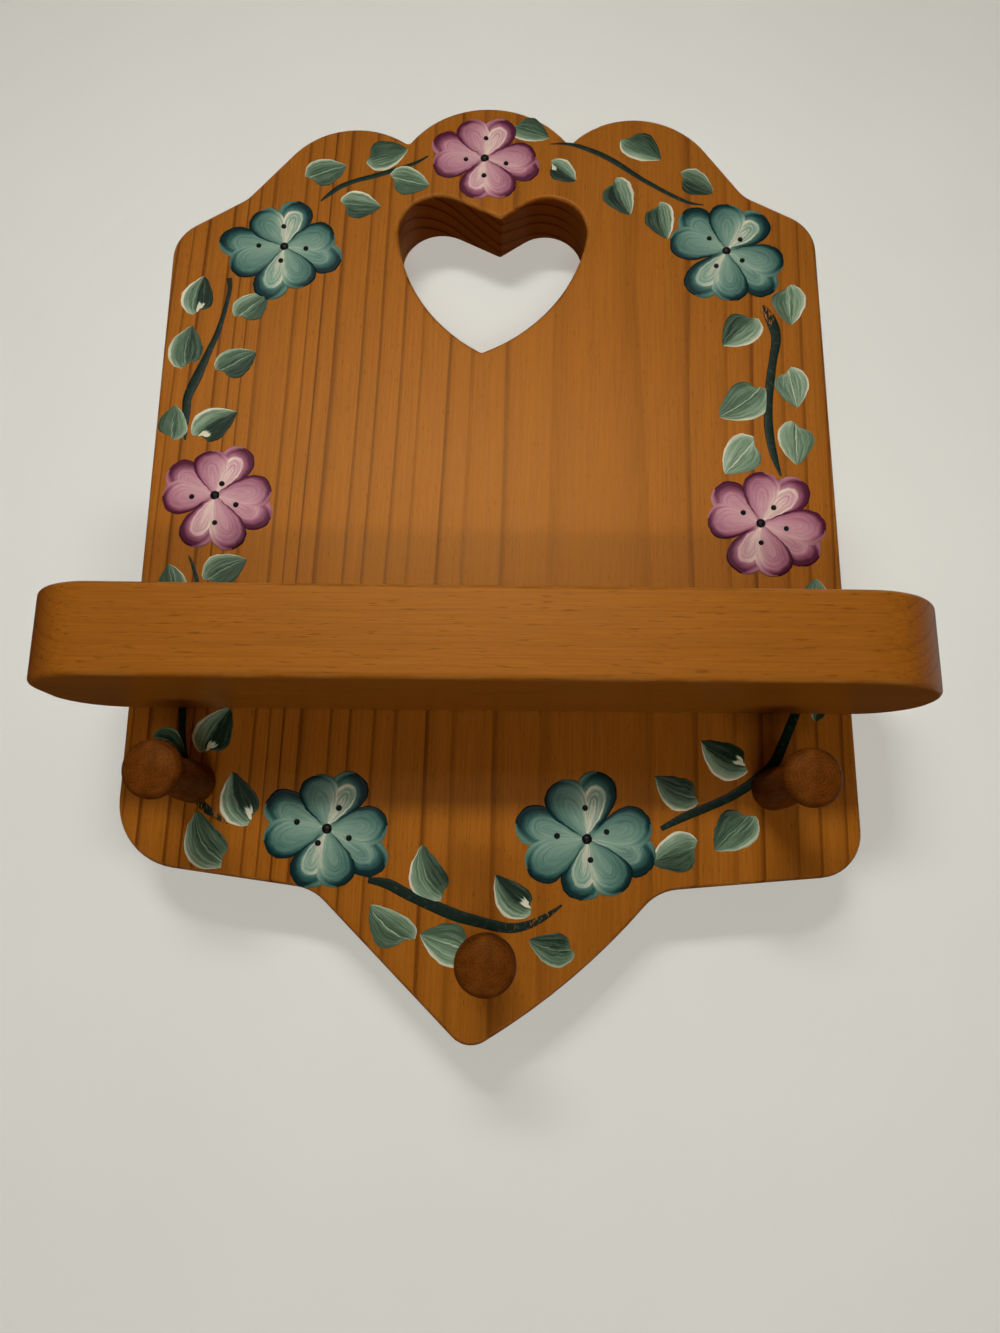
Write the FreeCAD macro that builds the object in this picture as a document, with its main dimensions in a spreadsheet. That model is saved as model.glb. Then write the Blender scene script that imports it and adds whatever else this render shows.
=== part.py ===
"""Country wall shelf: a scalloped pine back with a heart cut-out, a shelf and three turned pegs.

The back of the board lies in the plane y = 0, the front faces -Y, and z = 0 is the top of the shelf.
"""
import FreeCAD
import Part
import Sketcher
import os

# Driving dimensions in millimetres, one cell each.
SIZES = {
    # Back board
    "board_width": 175,
    "board_thickness": 17,
    "crest_height": 153,          # top of the shelf up to the highest point of the crest
    "tip_drop": 97.5,             # top of the shelf down to where the two tip edges would meet
    "left_foot_round": 16,
    "right_foot_round": 11,
    "shoulder_round": 11.5,
    "shoulder_bend_round": 9,
    "ogee_round": 12,
    "tip_round": 6,
    "saw_round": 1,               # sharp inside corners, as a fine blade leaves them
    "board_edge_round": 1,
    # Heart cut-out
    "heart_width": 52.5,
    "heart_height": 47.6,
    "heart_below_crest": 29.2,
    # Shelf
    "shelf_width": 199.5,
    "shelf_depth": 36.6,
    "shelf_thickness": 20.3,
    "shelf_left_round": 15.5,
    "shelf_right_round": 21,
    "shelf_rear_round": 14,
    "shelf_edge_round": 1.2,
    # Pegs
    "peg_projection": 31,
    "peg_base_diameter": 9.6,
    "peg_neck_diameter": 7,
    "peg_head_diameter": 12.4,
    "tenon_diameter": 6.4,
    "tenon_length": 12,
    "glue_clearance": 0.05,
    # Wood screws that hold the shelf
    "screw_spacing": 110,
    "screw_length": 32,
    "screw_diameter": 3.5,
    "screw_head_diameter": 6.8,
    "screw_point": 4,
    "screw_sink": 0.3,
    "screw_slot_width": 0.9,
    "screw_slot_depth": 0.8,
    "screw_clearance": 0.05,
    # Sawtooth hanger and its nails
    "hanger_length": 41,
    "hanger_height": 8,
    "hanger_gauge": 0.8,
    "hanger_lift": 1.6,
    "hanger_bridge": 25,
    "hanger_ramp": 2,
    "tooth_pitch": 2.6,
    "tooth_depth": 1.7,
    "nail_inset": 3,
    "nail_diameter": 1.5,
    "nail_depth": 11,
    "nail_point": 2,
    "nail_head_diameter": 3,
    "nail_head_thickness": 0.7,
    "nail_clearance": 0.05,
    # How far a through cut runs past the wood
    "overrun": 2,
}
TOOTH_COUNT = 9

# The board's outline from the tip round by the left: across as shares of half the width, up as shares
# of the crest height above the shelf's top, or of the tip drop below it. It was sawn by eye, so the
# halves differ.
BOARD_CORNER_SHARES = {
    "tip": (-0.056, -1),
    "left_ogee": (-0.469, -0.638),
    "left_foot": (-1, -0.573),
    "left_shoulder": (-1, 0.72),
    "left_bend": (-0.784, 0.799),
    "left_lobe": (-0.643, 0.898),
    "left_notch": (-0.283, 0.919),
    "right_notch": (0.232, 0.923),
    "right_lobe": (0.671, 0.911),
    "right_bend": (0.784, 0.82),
    "right_shoulder": (1, 0.757),
    "right_foot": (1, -0.595),
    "right_ogee": (0.445, -0.638),
}
# One more place on each curved stretch of that outline, named for the corner where the arc starts.
BOARD_ARC_SHARES = {
    "left_lobe": (-0.474, 0.949),
    "left_notch": (-0.026, 1),
    "right_notch": (0.457, 0.981),
    "right_ogee": (0.209, -0.842),
}
BOARD_ROUNDS = {
    "left_foot_round": ["left_foot"],
    "right_foot_round": ["right_foot"],
    "shoulder_round": ["left_shoulder", "right_shoulder"],
    "shoulder_bend_round": ["left_bend", "right_bend"],
    "ogee_round": ["left_ogee", "right_ogee"],
    "tip_round": ["tip"],
    "saw_round": ["left_notch", "right_notch"],
}

# The heart from its notch round by the left: across as shares of its width, up from its tip as shares of
# its height.
HEART_CORNER_SHARES = {
    "notch": (0.023, 0.855),
    "left_crown": (-0.2, 0.975),
    "left_cheek": (-0.51, 0.74),
    "tip": (-0.069, 0),
    "right_cheek": (0.47, 0.74),
    "right_crown": (0.16, 0.96),
}
HEART_SMOOTH_CORNERS = ["left_crown", "left_cheek", "right_cheek", "right_crown"]
# About where its curved stretches pass, before they are drawn tangent at the smooth corners.
HEART_ARC_SHARES = {
    "left_crown": (-0.429, 0.942),
    "left_cheek": (-0.352, 0.286),
    "tip": (0.279, 0.293),
    "right_cheek": (0.389, 0.956),
}

# Peg places: across as shares of half the board's width, down as shares of the tip drop.
PEG_PLACE_SHARES = {
    "peg_left": (-0.798, -0.391),
    "peg_centre": (-0.009, -0.783),
    "peg_right": (0.763, -0.396),
}
# Turned profile of a peg: the places along its projection where the form changes.
PEG_BELLY_SHARE = 0.3
PEG_NECK_SHARE = 0.7
PEG_FLARE_SHARE = 0.82
PEG_RIM_SHARE = 0.88
PEG_RIM_CREST_SHARE = 0.93
PEG_FACE_SHARE = 0.97
# Widths there: the belly and flare between the sizes beside them, the rim and face of the head.
PEG_BELLY_WIDTH_SHARE = 0.97
PEG_FLARE_WIDTH_SHARE = 1.17
PEG_RIM_WIDTH_SHARE = 0.96
PEG_FACE_WIDTH_SHARE = 0.85

NEAR = 1e-4
DOMED = "an arc whose centre is on the upright axis"

doc = FreeCAD.newDocument("wall_shelf")
sheet = doc.addObject("Spreadsheet::Sheet", "sizes")
for row, (alias, value) in enumerate(SIZES.items(), 1):
    sheet.set(f"A{row}", alias)
    sheet.set(f"B{row}", str(value))
    sheet.setAlias(f"B{row}", alias)
doc.recompute()


def value_of(expression):
    """The number that an expression on the sheet gives now."""
    return float(sheet.evalExpression(expression))


def new_body(name):
    """A body whose label names the piece."""
    body = doc.addObject("PartDesign::Body", name)
    body.Label = name
    return body


def place(body, across="0", out="0", up="0", turn=0):
    """Put a body where expressions on the sheet say, turned about the upright axis."""
    body.Placement.Rotation = FreeCAD.Rotation(FreeCAD.Vector(0, 0, 1), turn)
    body.setExpression("Placement.Base.x", across)
    body.setExpression("Placement.Base.y", out)
    body.setExpression("Placement.Base.z", up)


def new_sketch(body, name, role, lift=None):
    """A sketch on one of the body's origin planes, or lifted from it along its normal."""
    sketch = body.newObject("Sketcher::SketchObject", name)
    plane = next(item for item in body.Origin.OriginFeatures if item.Role == role)
    sketch.AttachmentSupport = [(plane, "")]
    sketch.MapMode = "FlatFace"
    if lift:
        sketch.setExpression("AttachmentOffset.Base.z", lift)
    return sketch


def tie(sketch, geometry, point, kind, expression):
    """Tie one coordinate of a point to an expression, on the axis where that is zero."""
    value = value_of(expression)
    if abs(value) < NEAR:
        axis = -2 if kind == "DistanceX" else -1
        sketch.addConstraint(Sketcher.Constraint("PointOnObject", geometry, point, axis))
        return
    if value > 0:
        index = sketch.addConstraint(Sketcher.Constraint(kind, -1, 1, geometry, point, value))
        sketch.setExpression(f"Constraints[{index}]", expression)
    else:
        index = sketch.addConstraint(Sketcher.Constraint(kind, geometry, point, -1, 1, -value))
        sketch.setExpression(f"Constraints[{index}]", f"-({expression})")


def dome_middle(start, end):
    """The middle of an arc between two points whose centre is on the upright axis."""
    rise = start.dot(start) - end.dot(end)
    centre = FreeCAD.Vector(0, rise / (2 * (start.y - end.y)), 0)
    middle = (start + end) / 2 - centre
    return centre + middle.normalize() * (start - centre).Length


def draw_loop(sketch, corners, arcs, smooth=()):
    """A closed loop through corners given as expressions; arcs has one more place on a curved stretch.

    Stretches that meet at a smooth corner are tangent there, and that settles the arcs of such a loop.
    """
    names = list(corners)
    following_names = names[1:] + names[:1]
    spots = {name: FreeCAD.Vector(value_of(x), value_of(y), 0) for name, (x, y) in corners.items()}
    ends = []
    for name, after in zip(names, following_names):
        start, end = spots[name], spots[after]
        if name not in arcs:
            segment = sketch.addGeometry(Part.LineSegment(start, end))
            ends.append((segment, 1, 2))
            continue
        if arcs[name] == DOMED:
            via = dome_middle(start, end)
        else:
            via = FreeCAD.Vector(*[value_of(part) for part in arcs[name]], 0)
        anticlockwise = (via - start).cross(end - start).z > 0
        if anticlockwise:
            segment = sketch.addGeometry(Part.Arc(start, via, end))
            ends.append((segment, 1, 2))
        else:
            segment = sketch.addGeometry(Part.Arc(end, via, start))
            ends.append((segment, 2, 1))
        if arcs[name] == DOMED:
            sketch.addConstraint(Sketcher.Constraint("PointOnObject", segment, 3, -2))
            continue
        if smooth:
            continue
        mark = sketch.addGeometry(Part.Point(via), True)
        tie(sketch, mark, 1, "DistanceX", arcs[name][0])
        tie(sketch, mark, 1, "DistanceY", arcs[name][1])
        sketch.addConstraint(Sketcher.Constraint("PointOnObject", mark, 1, segment))
    for name, after, here, following in zip(names, following_names, ends, ends[1:] + ends[:1]):
        meeting = "Tangent" if after in smooth else "Coincident"
        sketch.addConstraint(Sketcher.Constraint(meeting, here[0], here[2], following[0], following[1]))
        tie(sketch, here[0], here[1], "DistanceX", corners[name][0])
        tie(sketch, here[0], here[1], "DistanceY", corners[name][1])


def draw_circles(sketch, places, diameter):
    """Circles of one diameter at places given as expressions."""
    for across, up in places:
        centre = FreeCAD.Vector(value_of(across), value_of(up), 0)
        circle = sketch.addGeometry(Part.Circle(centre, FreeCAD.Vector(0, 0, 1), value_of(diameter) / 2))
        tie(sketch, circle, 3, "DistanceX", across)
        tie(sketch, circle, 3, "DistanceY", up)
        index = sketch.addConstraint(Sketcher.Constraint("Diameter", circle, value_of(diameter)))
        sketch.setExpression(f"Constraints[{index}]", diameter)


def pad(body, name, sketch, length, reversed_way=False):
    """A sketch drawn out into a solid."""
    feature = body.newObject("PartDesign::Pad", name)
    feature.Profile = sketch
    feature.Reversed = reversed_way
    feature.setExpression("Length", length)
    doc.recompute()
    return feature


def pocket(body, name, sketch, depth, reversed_way=False):
    """A sketch cut into the solid, which has to take wood or metal away."""
    before = body.Tip.Shape.Volume
    feature = body.newObject("PartDesign::Pocket", name)
    feature.Profile = sketch
    feature.Reversed = reversed_way
    feature.setExpression("Length", depth)
    doc.recompute()
    if feature.Shape.Volume > before - NEAR:
        raise RuntimeError(f"{name} cuts nothing")
    return feature


def revolve(body, name, sketch):
    """A half profile turned about the sketch's upright axis."""
    feature = body.newObject("PartDesign::Revolution", name)
    feature.Profile = sketch
    feature.ReferenceAxis = (sketch, ["V_Axis"])
    feature.Angle = 360
    doc.recompute()
    return feature


def edge_names(feature, keep):
    """The names of the feature's edges that a test on their two ends keeps."""
    return [
        f"Edge{number}"
        for number, edge in enumerate(feature.Shape.Edges, 1)
        if keep(edge.firstVertex().Point, edge.lastVertex().Point)
    ]


def ease(body, name, edges, radius, kind="Fillet", size="Radius"):
    """Round or chamfer edges of the body's present tip."""
    tip = body.Tip
    feature = body.newObject(f"PartDesign::{kind}", name)
    feature.Base = (tip, edges)
    feature.setExpression(size, radius)
    doc.recompute()
    return feature


def round_corners(body, name, spots, radius, flat):
    """Round the edges that stand on given spots, where flat drops the coordinate along the edge."""
    def keep(first, last):
        ends = [flat(first), flat(last)]
        return any(all((end - spot).Length < NEAR for end in ends) for spot in spots)
    ease(body, name, edge_names(body.Tip, keep), radius)


def from_front(point):
    """A point seen along the board's thickness."""
    return FreeCAD.Vector(point.x, 0, point.z)


def from_above(point):
    """A point seen along the shelf's thickness."""
    return FreeCAD.Vector(point.x, point.y, 0)


def board_spots(places):
    """Points on the back of the board for places given as expressions."""
    return [FreeCAD.Vector(value_of(across), 0, value_of(up)) for across, up in places]


def shelf_spots(places):
    """Points on the top of the shelf for places given as expressions."""
    return [FreeCAD.Vector(value_of(across), value_of(out), 0) for across, out in places]


def board_place(shares):
    """Expressions for a place on the board, given as shares."""
    across, up = shares
    height = "sizes.crest_height" if up > 0 else "sizes.tip_drop"
    return f"sizes.board_width / 2 * {across}", f"{height} * {up}"


HEART_TIP = "(sizes.crest_height - sizes.heart_below_crest - sizes.heart_height)"
SCREW_UP = "-sizes.shelf_thickness / 2"
SCREW_PLACES = [("-sizes.screw_spacing / 2", SCREW_UP), ("sizes.screw_spacing / 2", SCREW_UP)]
SCREW_HOLE = "(sizes.screw_diameter + 2 * sizes.screw_clearance)"
# The hanger is nailed midway between the top of the heart and the lower notch of the crest.
NOTCH_UP = board_place(BOARD_CORNER_SHARES["left_notch"])[1]
HANGER_UP = f"((sizes.crest_height - sizes.heart_below_crest + {NOTCH_UP}) / 2)"
NAIL_ACROSS = "(sizes.hanger_length / 2 - sizes.nail_inset)"
NAIL_PLACES = [(f"-{NAIL_ACROSS}", HANGER_UP), (NAIL_ACROSS, HANGER_UP)]
NAIL_HOLE = "(sizes.nail_diameter + 2 * sizes.nail_clearance)"


def heart_place(shares):
    """Expressions for a place on the heart, given as shares."""
    across, up = shares
    return f"sizes.heart_width * {across}", f"{HEART_TIP} + sizes.heart_height * {up}"


def make_back_board():
    """The sawn back board with its heart, peg holes, screw holes and nail holes."""
    body = new_body("back_board")
    corners = {name: board_place(shares) for name, shares in BOARD_CORNER_SHARES.items()}
    arcs = {name: board_place(shares) for name, shares in BOARD_ARC_SHARES.items()}
    outline = new_sketch(body, "board_outline", "XZ_Plane")
    draw_loop(outline, corners, arcs)
    pad(body, "board_blank", outline, "sizes.board_thickness")
    for radius, names in BOARD_ROUNDS.items():
        spots = board_spots(corners[name] for name in names)
        round_corners(body, f"board_{radius}", spots, f"sizes.{radius}", from_front)

    corners = {name: heart_place(shares) for name, shares in HEART_CORNER_SHARES.items()}
    arcs = {name: heart_place(shares) for name, shares in HEART_ARC_SHARES.items()}
    heart = new_sketch(body, "heart_outline", "XZ_Plane", "-sizes.overrun")
    draw_loop(heart, corners, arcs, HEART_SMOOTH_CORNERS)
    pocket(body, "heart_cut", heart, "sizes.board_thickness + 2 * sizes.overrun", True)
    spots = board_spots(corners[name] for name in ("notch", "tip"))
    round_corners(body, "heart_saw_round", spots, "sizes.saw_round", from_front)

    thickness = value_of("sizes.board_thickness")

    def on_a_face(first, last):
        return any(abs(first.y + y) < NEAR and abs(last.y + y) < NEAR for y in (0, thickness))
    ease(body, "board_edges", edge_names(body.Tip, on_a_face), "sizes.board_edge_round")

    peg_holes = new_sketch(body, "peg_holes_outline", "XZ_Plane", "sizes.board_thickness")
    places = [board_place(shares) for shares in PEG_PLACE_SHARES.values()]
    draw_circles(peg_holes, places, "sizes.tenon_diameter + 2 * sizes.glue_clearance")
    pocket(body, "peg_holes", peg_holes, "sizes.tenon_length + sizes.glue_clearance")

    screw_holes = new_sketch(body, "screw_holes_outline", "XZ_Plane", "-sizes.overrun")
    draw_circles(screw_holes, SCREW_PLACES, SCREW_HOLE)
    pocket(body, "screw_holes", screw_holes, "sizes.board_thickness + 2 * sizes.overrun", True)
    spots = board_spots(SCREW_PLACES)
    reach = value_of(SCREW_HOLE) / 2

    def on_a_screw_mouth(first, last):
        return abs(first.y) < NEAR and any(abs((first - spot).Length - reach) < NEAR for spot in spots)
    sink = f"sizes.screw_head_diameter / 2 + sizes.screw_sink + sizes.screw_clearance - {SCREW_HOLE} / 2"
    ease(body, "screw_countersinks", edge_names(body.Tip, on_a_screw_mouth), sink, "Chamfer", "Size")

    nail_holes = new_sketch(body, "nail_holes_outline", "XZ_Plane", "-sizes.overrun")
    draw_circles(nail_holes, NAIL_PLACES, NAIL_HOLE)
    depth = "sizes.nail_depth + sizes.nail_clearance + sizes.overrun"
    pocket(body, "nail_holes", nail_holes, depth, True)
    return body


def make_shelf():
    """The thick shelf with rounded ends, drilled at the back for its two screws."""
    body = new_body("shelf")
    half = "sizes.shelf_width / 2"
    corners = {
        "rear_left": (f"-{half}", "0"),
        "front_left": (f"-{half}", "-sizes.shelf_depth"),
        "front_right": (half, "-sizes.shelf_depth"),
        "rear_right": (half, "0"),
    }
    plan = new_sketch(body, "shelf_plan", "XY_Plane")
    draw_loop(plan, corners, {})
    pad(body, "shelf_blank", plan, "sizes.shelf_thickness", True)
    rounds = {
        "shelf_left_round": ["front_left"],
        "shelf_right_round": ["front_right"],
        "shelf_rear_round": ["rear_left", "rear_right"],
    }
    for radius, names in rounds.items():
        spots = shelf_spots(corners[name] for name in names)
        round_corners(body, f"corners_{radius}", spots, f"sizes.{radius}", from_above)

    thickness = value_of("sizes.shelf_thickness")

    def on_a_face(first, last):
        return any(abs(first.z + z) < NEAR and abs(last.z + z) < NEAR for z in (0, thickness))
    ease(body, "shelf_edges", edge_names(body.Tip, on_a_face), "sizes.shelf_edge_round")

    pilots = new_sketch(body, "pilot_outline", "XZ_Plane", "-sizes.overrun")
    draw_circles(pilots, SCREW_PLACES, SCREW_HOLE)
    bite = "sizes.screw_length + sizes.screw_sink - sizes.board_thickness"
    pocket(body, "pilot_holes", pilots, f"{bite} + sizes.screw_clearance + sizes.overrun", True)
    place(body, out="-sizes.board_thickness")
    return body


def make_peg(name):
    """A turned peg: tenon, bellied shaft, narrow neck and flared, domed head."""
    body = new_body(name)
    tenon = "sizes.tenon_diameter / 2"
    base = "sizes.peg_base_diameter / 2"
    neck = "sizes.peg_neck_diameter / 2"
    head = "sizes.peg_head_diameter / 2"
    reach = "sizes.peg_projection"
    corners = {
        "tenon_axis": ("0", "-sizes.tenon_length"),
        "tenon_end": (tenon, "-sizes.tenon_length"),
        "tenon_root": (tenon, "0"),
        "base": (base, "0"),
        "neck": (neck, f"{reach} * {PEG_NECK_SHARE}"),
        "rim": (f"{head} * {PEG_RIM_WIDTH_SHARE}", f"{reach} * {PEG_RIM_SHARE}"),
        "face": (f"{head} * {PEG_FACE_WIDTH_SHARE}", f"{reach} * {PEG_FACE_SHARE}"),
        "crown": ("0", reach),
    }
    arcs = {
        "base": (f"{base} * {PEG_BELLY_WIDTH_SHARE}", f"{reach} * {PEG_BELLY_SHARE}"),
        "neck": (f"{neck} * {PEG_FLARE_WIDTH_SHARE}", f"{reach} * {PEG_FLARE_SHARE}"),
        "rim": (head, f"{reach} * {PEG_RIM_CREST_SHARE}"),
        "face": DOMED,
    }
    profile = new_sketch(body, f"{name}_profile", "XY_Plane")
    draw_loop(profile, corners, arcs)
    revolve(body, f"{name}_turning", profile)
    across, up = board_place(PEG_PLACE_SHARES[name])
    place(body, across, "-sizes.board_thickness", up, 180)
    return body


def make_screw(name, across, up):
    """A slotted countersunk wood screw, sunk just below the back of the board."""
    body = new_body(name)
    shank = "sizes.screw_diameter / 2"
    head = "sizes.screw_head_diameter / 2"
    corners = {
        "head_axis": ("0", "0"),
        "head_rim": (head, "0"),
        "shank_root": (shank, f"{head} - {shank}"),
        "shank_end": (shank, "sizes.screw_length - sizes.screw_point"),
        "point": ("0", "sizes.screw_length"),
    }
    profile = new_sketch(body, f"{name}_profile", "XY_Plane")
    draw_loop(profile, corners, {})
    revolve(body, f"{name}_turning", profile)
    long_half = f"{head} + sizes.overrun"
    wide_half = "sizes.screw_slot_width / 2"
    corners = {
        "low_left": (f"-({long_half})", f"-{wide_half}"),
        "low_right": (long_half, f"-{wide_half}"),
        "high_right": (long_half, wide_half),
        "high_left": (f"-({long_half})", wide_half),
    }
    slot = new_sketch(body, f"{name}_slot_outline", "XZ_Plane")
    draw_loop(slot, corners, {})
    pocket(body, f"{name}_slot", slot, "sizes.screw_slot_depth")
    place(body, across, "-sizes.screw_sink", up, 180)
    return body


def make_hanger():
    """A stamped steel strip, nailed flat at its ends, lifted between them and toothed along its foot."""
    body = new_body("sawtooth_hanger")
    end = "sizes.hanger_length / 2"
    bridge = "sizes.hanger_bridge / 2"
    foot = f"({bridge} + sizes.hanger_ramp)"
    gauge = "sizes.hanger_gauge"
    lift = "sizes.hanger_lift"
    corners = {
        "left_end": (f"-{end}", "0"),
        "left_foot": (f"-{foot}", "0"),
        "left_bridge": (f"-{bridge}", lift),
        "right_bridge": (bridge, lift),
        "right_foot": (foot, "0"),
        "right_end": (end, "0"),
        "right_end_face": (end, gauge),
        "right_foot_face": (foot, gauge),
        "right_bridge_face": (bridge, f"{lift} + {gauge}"),
        "left_bridge_face": (f"-{bridge}", f"{lift} + {gauge}"),
        "left_foot_face": (f"-{foot}", gauge),
        "left_end_face": (f"-{end}", gauge),
    }
    strip = new_sketch(body, "hanger_strip_plan", "XY_Plane", "-sizes.hanger_height / 2")
    draw_loop(strip, corners, {})
    pad(body, "hanger_strip", strip, "sizes.hanger_height")

    low = "-sizes.hanger_height / 2"
    first = f"-sizes.tooth_pitch * {(TOOTH_COUNT - 1) / 2}"
    corners = {
        "left": (f"{first} - sizes.tooth_pitch / 2", low),
        "right": (f"{first} + sizes.tooth_pitch / 2", low),
        "root": (first, f"{low} + sizes.tooth_depth"),
    }
    through = f"{lift} + {gauge} + sizes.overrun"
    notch = new_sketch(body, "hanger_notch_outline", "XZ_Plane")
    draw_loop(notch, corners, {})
    cut = pocket(body, "hanger_notch", notch, through)
    teeth = body.newObject("PartDesign::LinearPattern", "hanger_teeth")
    teeth.Originals = [cut]
    teeth.Direction = (notch, ["H_Axis"])
    teeth.Occurrences = TOOTH_COUNT
    teeth.setExpression("Length", f"sizes.tooth_pitch * {TOOTH_COUNT - 1}")
    body.Tip = teeth
    doc.recompute()

    holes = new_sketch(body, "hanger_holes_outline", "XZ_Plane")
    draw_circles(holes, [(f"-{NAIL_ACROSS}", "0"), (NAIL_ACROSS, "0")], NAIL_HOLE)
    pocket(body, "hanger_holes", holes, through)
    place(body, up=HANGER_UP)
    return body


def make_nail(name, across, up):
    """A small flat-headed nail through one end of the hanger."""
    body = new_body(name)
    shank = "sizes.nail_diameter / 2"
    head = "sizes.nail_head_diameter / 2"
    reach = "(sizes.hanger_gauge + sizes.nail_depth)"
    corners = {
        "head_axis": ("0", "-sizes.nail_head_thickness"),
        "head_face": (head, "-sizes.nail_head_thickness"),
        "head_seat": (head, "0"),
        "shank_root": (shank, "0"),
        "shank_end": (shank, f"{reach} - sizes.nail_point"),
        "point": ("0", reach),
    }
    profile = new_sketch(body, f"{name}_profile", "XY_Plane")
    draw_loop(profile, corners, {})
    revolve(body, f"{name}_turning", profile)
    place(body, across, "sizes.hanger_gauge", up, 180)
    return body


pieces = [make_back_board(), make_shelf()]
pieces += [make_peg(name) for name in PEG_PLACE_SHARES]
for side, spot in zip(("left", "right"), SCREW_PLACES):
    pieces.append(make_screw(f"shelf_screw_{side}", *spot))
pieces.append(make_hanger())
for side, spot in zip(("left", "right"), NAIL_PLACES):
    pieces.append(make_nail(f"hanger_nail_{side}", *spot))
doc.recompute()

for item in doc.Objects:
    if "Invalid" in item.State or "Error" in item.State:
        raise RuntimeError(f"{item.Label} failed: {item.State}")
for piece in pieces:
    if piece.Shape.isNull() or not piece.Shape.isValid() or len(piece.Shape.Solids) != 1:
        raise RuntimeError(f"{piece.Label} is not one valid solid")

os.makedirs("parts", exist_ok=True)
for piece in pieces:
    piece.Shape.exportStep(f"parts/{piece.Label}.step")
    print(piece.Label, round(piece.Shape.Volume, 1), "mm3")
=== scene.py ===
"""Country wall shelf with pegs: stained pine, turned pegs and brush-painted flowers."""
import math
from functools import partial

import bpy
from bpy.props import FloatProperty, FloatVectorProperty, PointerProperty
from mathutils import Matrix, Vector


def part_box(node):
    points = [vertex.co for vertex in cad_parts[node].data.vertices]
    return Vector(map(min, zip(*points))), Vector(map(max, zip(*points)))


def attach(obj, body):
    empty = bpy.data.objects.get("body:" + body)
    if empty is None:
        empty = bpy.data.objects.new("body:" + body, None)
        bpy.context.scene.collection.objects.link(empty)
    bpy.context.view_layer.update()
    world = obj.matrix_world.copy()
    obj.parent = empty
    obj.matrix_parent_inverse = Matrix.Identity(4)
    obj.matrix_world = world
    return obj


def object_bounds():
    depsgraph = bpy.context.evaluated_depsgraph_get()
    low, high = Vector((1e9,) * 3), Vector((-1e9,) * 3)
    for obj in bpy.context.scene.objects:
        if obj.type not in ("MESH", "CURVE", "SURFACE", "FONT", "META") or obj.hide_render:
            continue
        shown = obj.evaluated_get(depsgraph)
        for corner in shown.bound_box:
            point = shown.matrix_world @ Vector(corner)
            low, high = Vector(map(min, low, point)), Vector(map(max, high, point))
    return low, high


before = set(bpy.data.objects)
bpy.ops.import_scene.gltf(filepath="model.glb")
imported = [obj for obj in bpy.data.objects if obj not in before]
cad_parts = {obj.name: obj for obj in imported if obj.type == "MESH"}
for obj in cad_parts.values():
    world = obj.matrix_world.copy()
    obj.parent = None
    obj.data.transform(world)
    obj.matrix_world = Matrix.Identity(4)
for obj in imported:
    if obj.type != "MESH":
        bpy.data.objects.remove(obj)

bl_info = {
    "name": "Painted Wall Shelf",
    "version": (1, 0, 0),
    "blender": (4, 5, 0),
    "location": "3D View > Sidebar > Wall Shelf",
    "description": "Finishes a country wall shelf in stained pine with painted flowers",
    "category": "Object",
}

MM = 0.001
PER_MM = (1000, 1000, 1000)
FULL_TURN = 2 * math.pi
CAD_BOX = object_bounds()
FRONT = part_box("back_board")[0].y

# The picture's frame in pixels, and where the camera stood for it.
PICTURE_WIDTH, PICTURE_HEIGHT = 1000, 1333
FOCAL_PIXELS = 924
SENSOR_MM = 36
CAMERA_MM = Vector((-0.25, -236.7, -59.5))
CAMERA_YAW, CAMERA_PITCH, CAMERA_ROLL = 0.575, 12.9, 0.468

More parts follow.
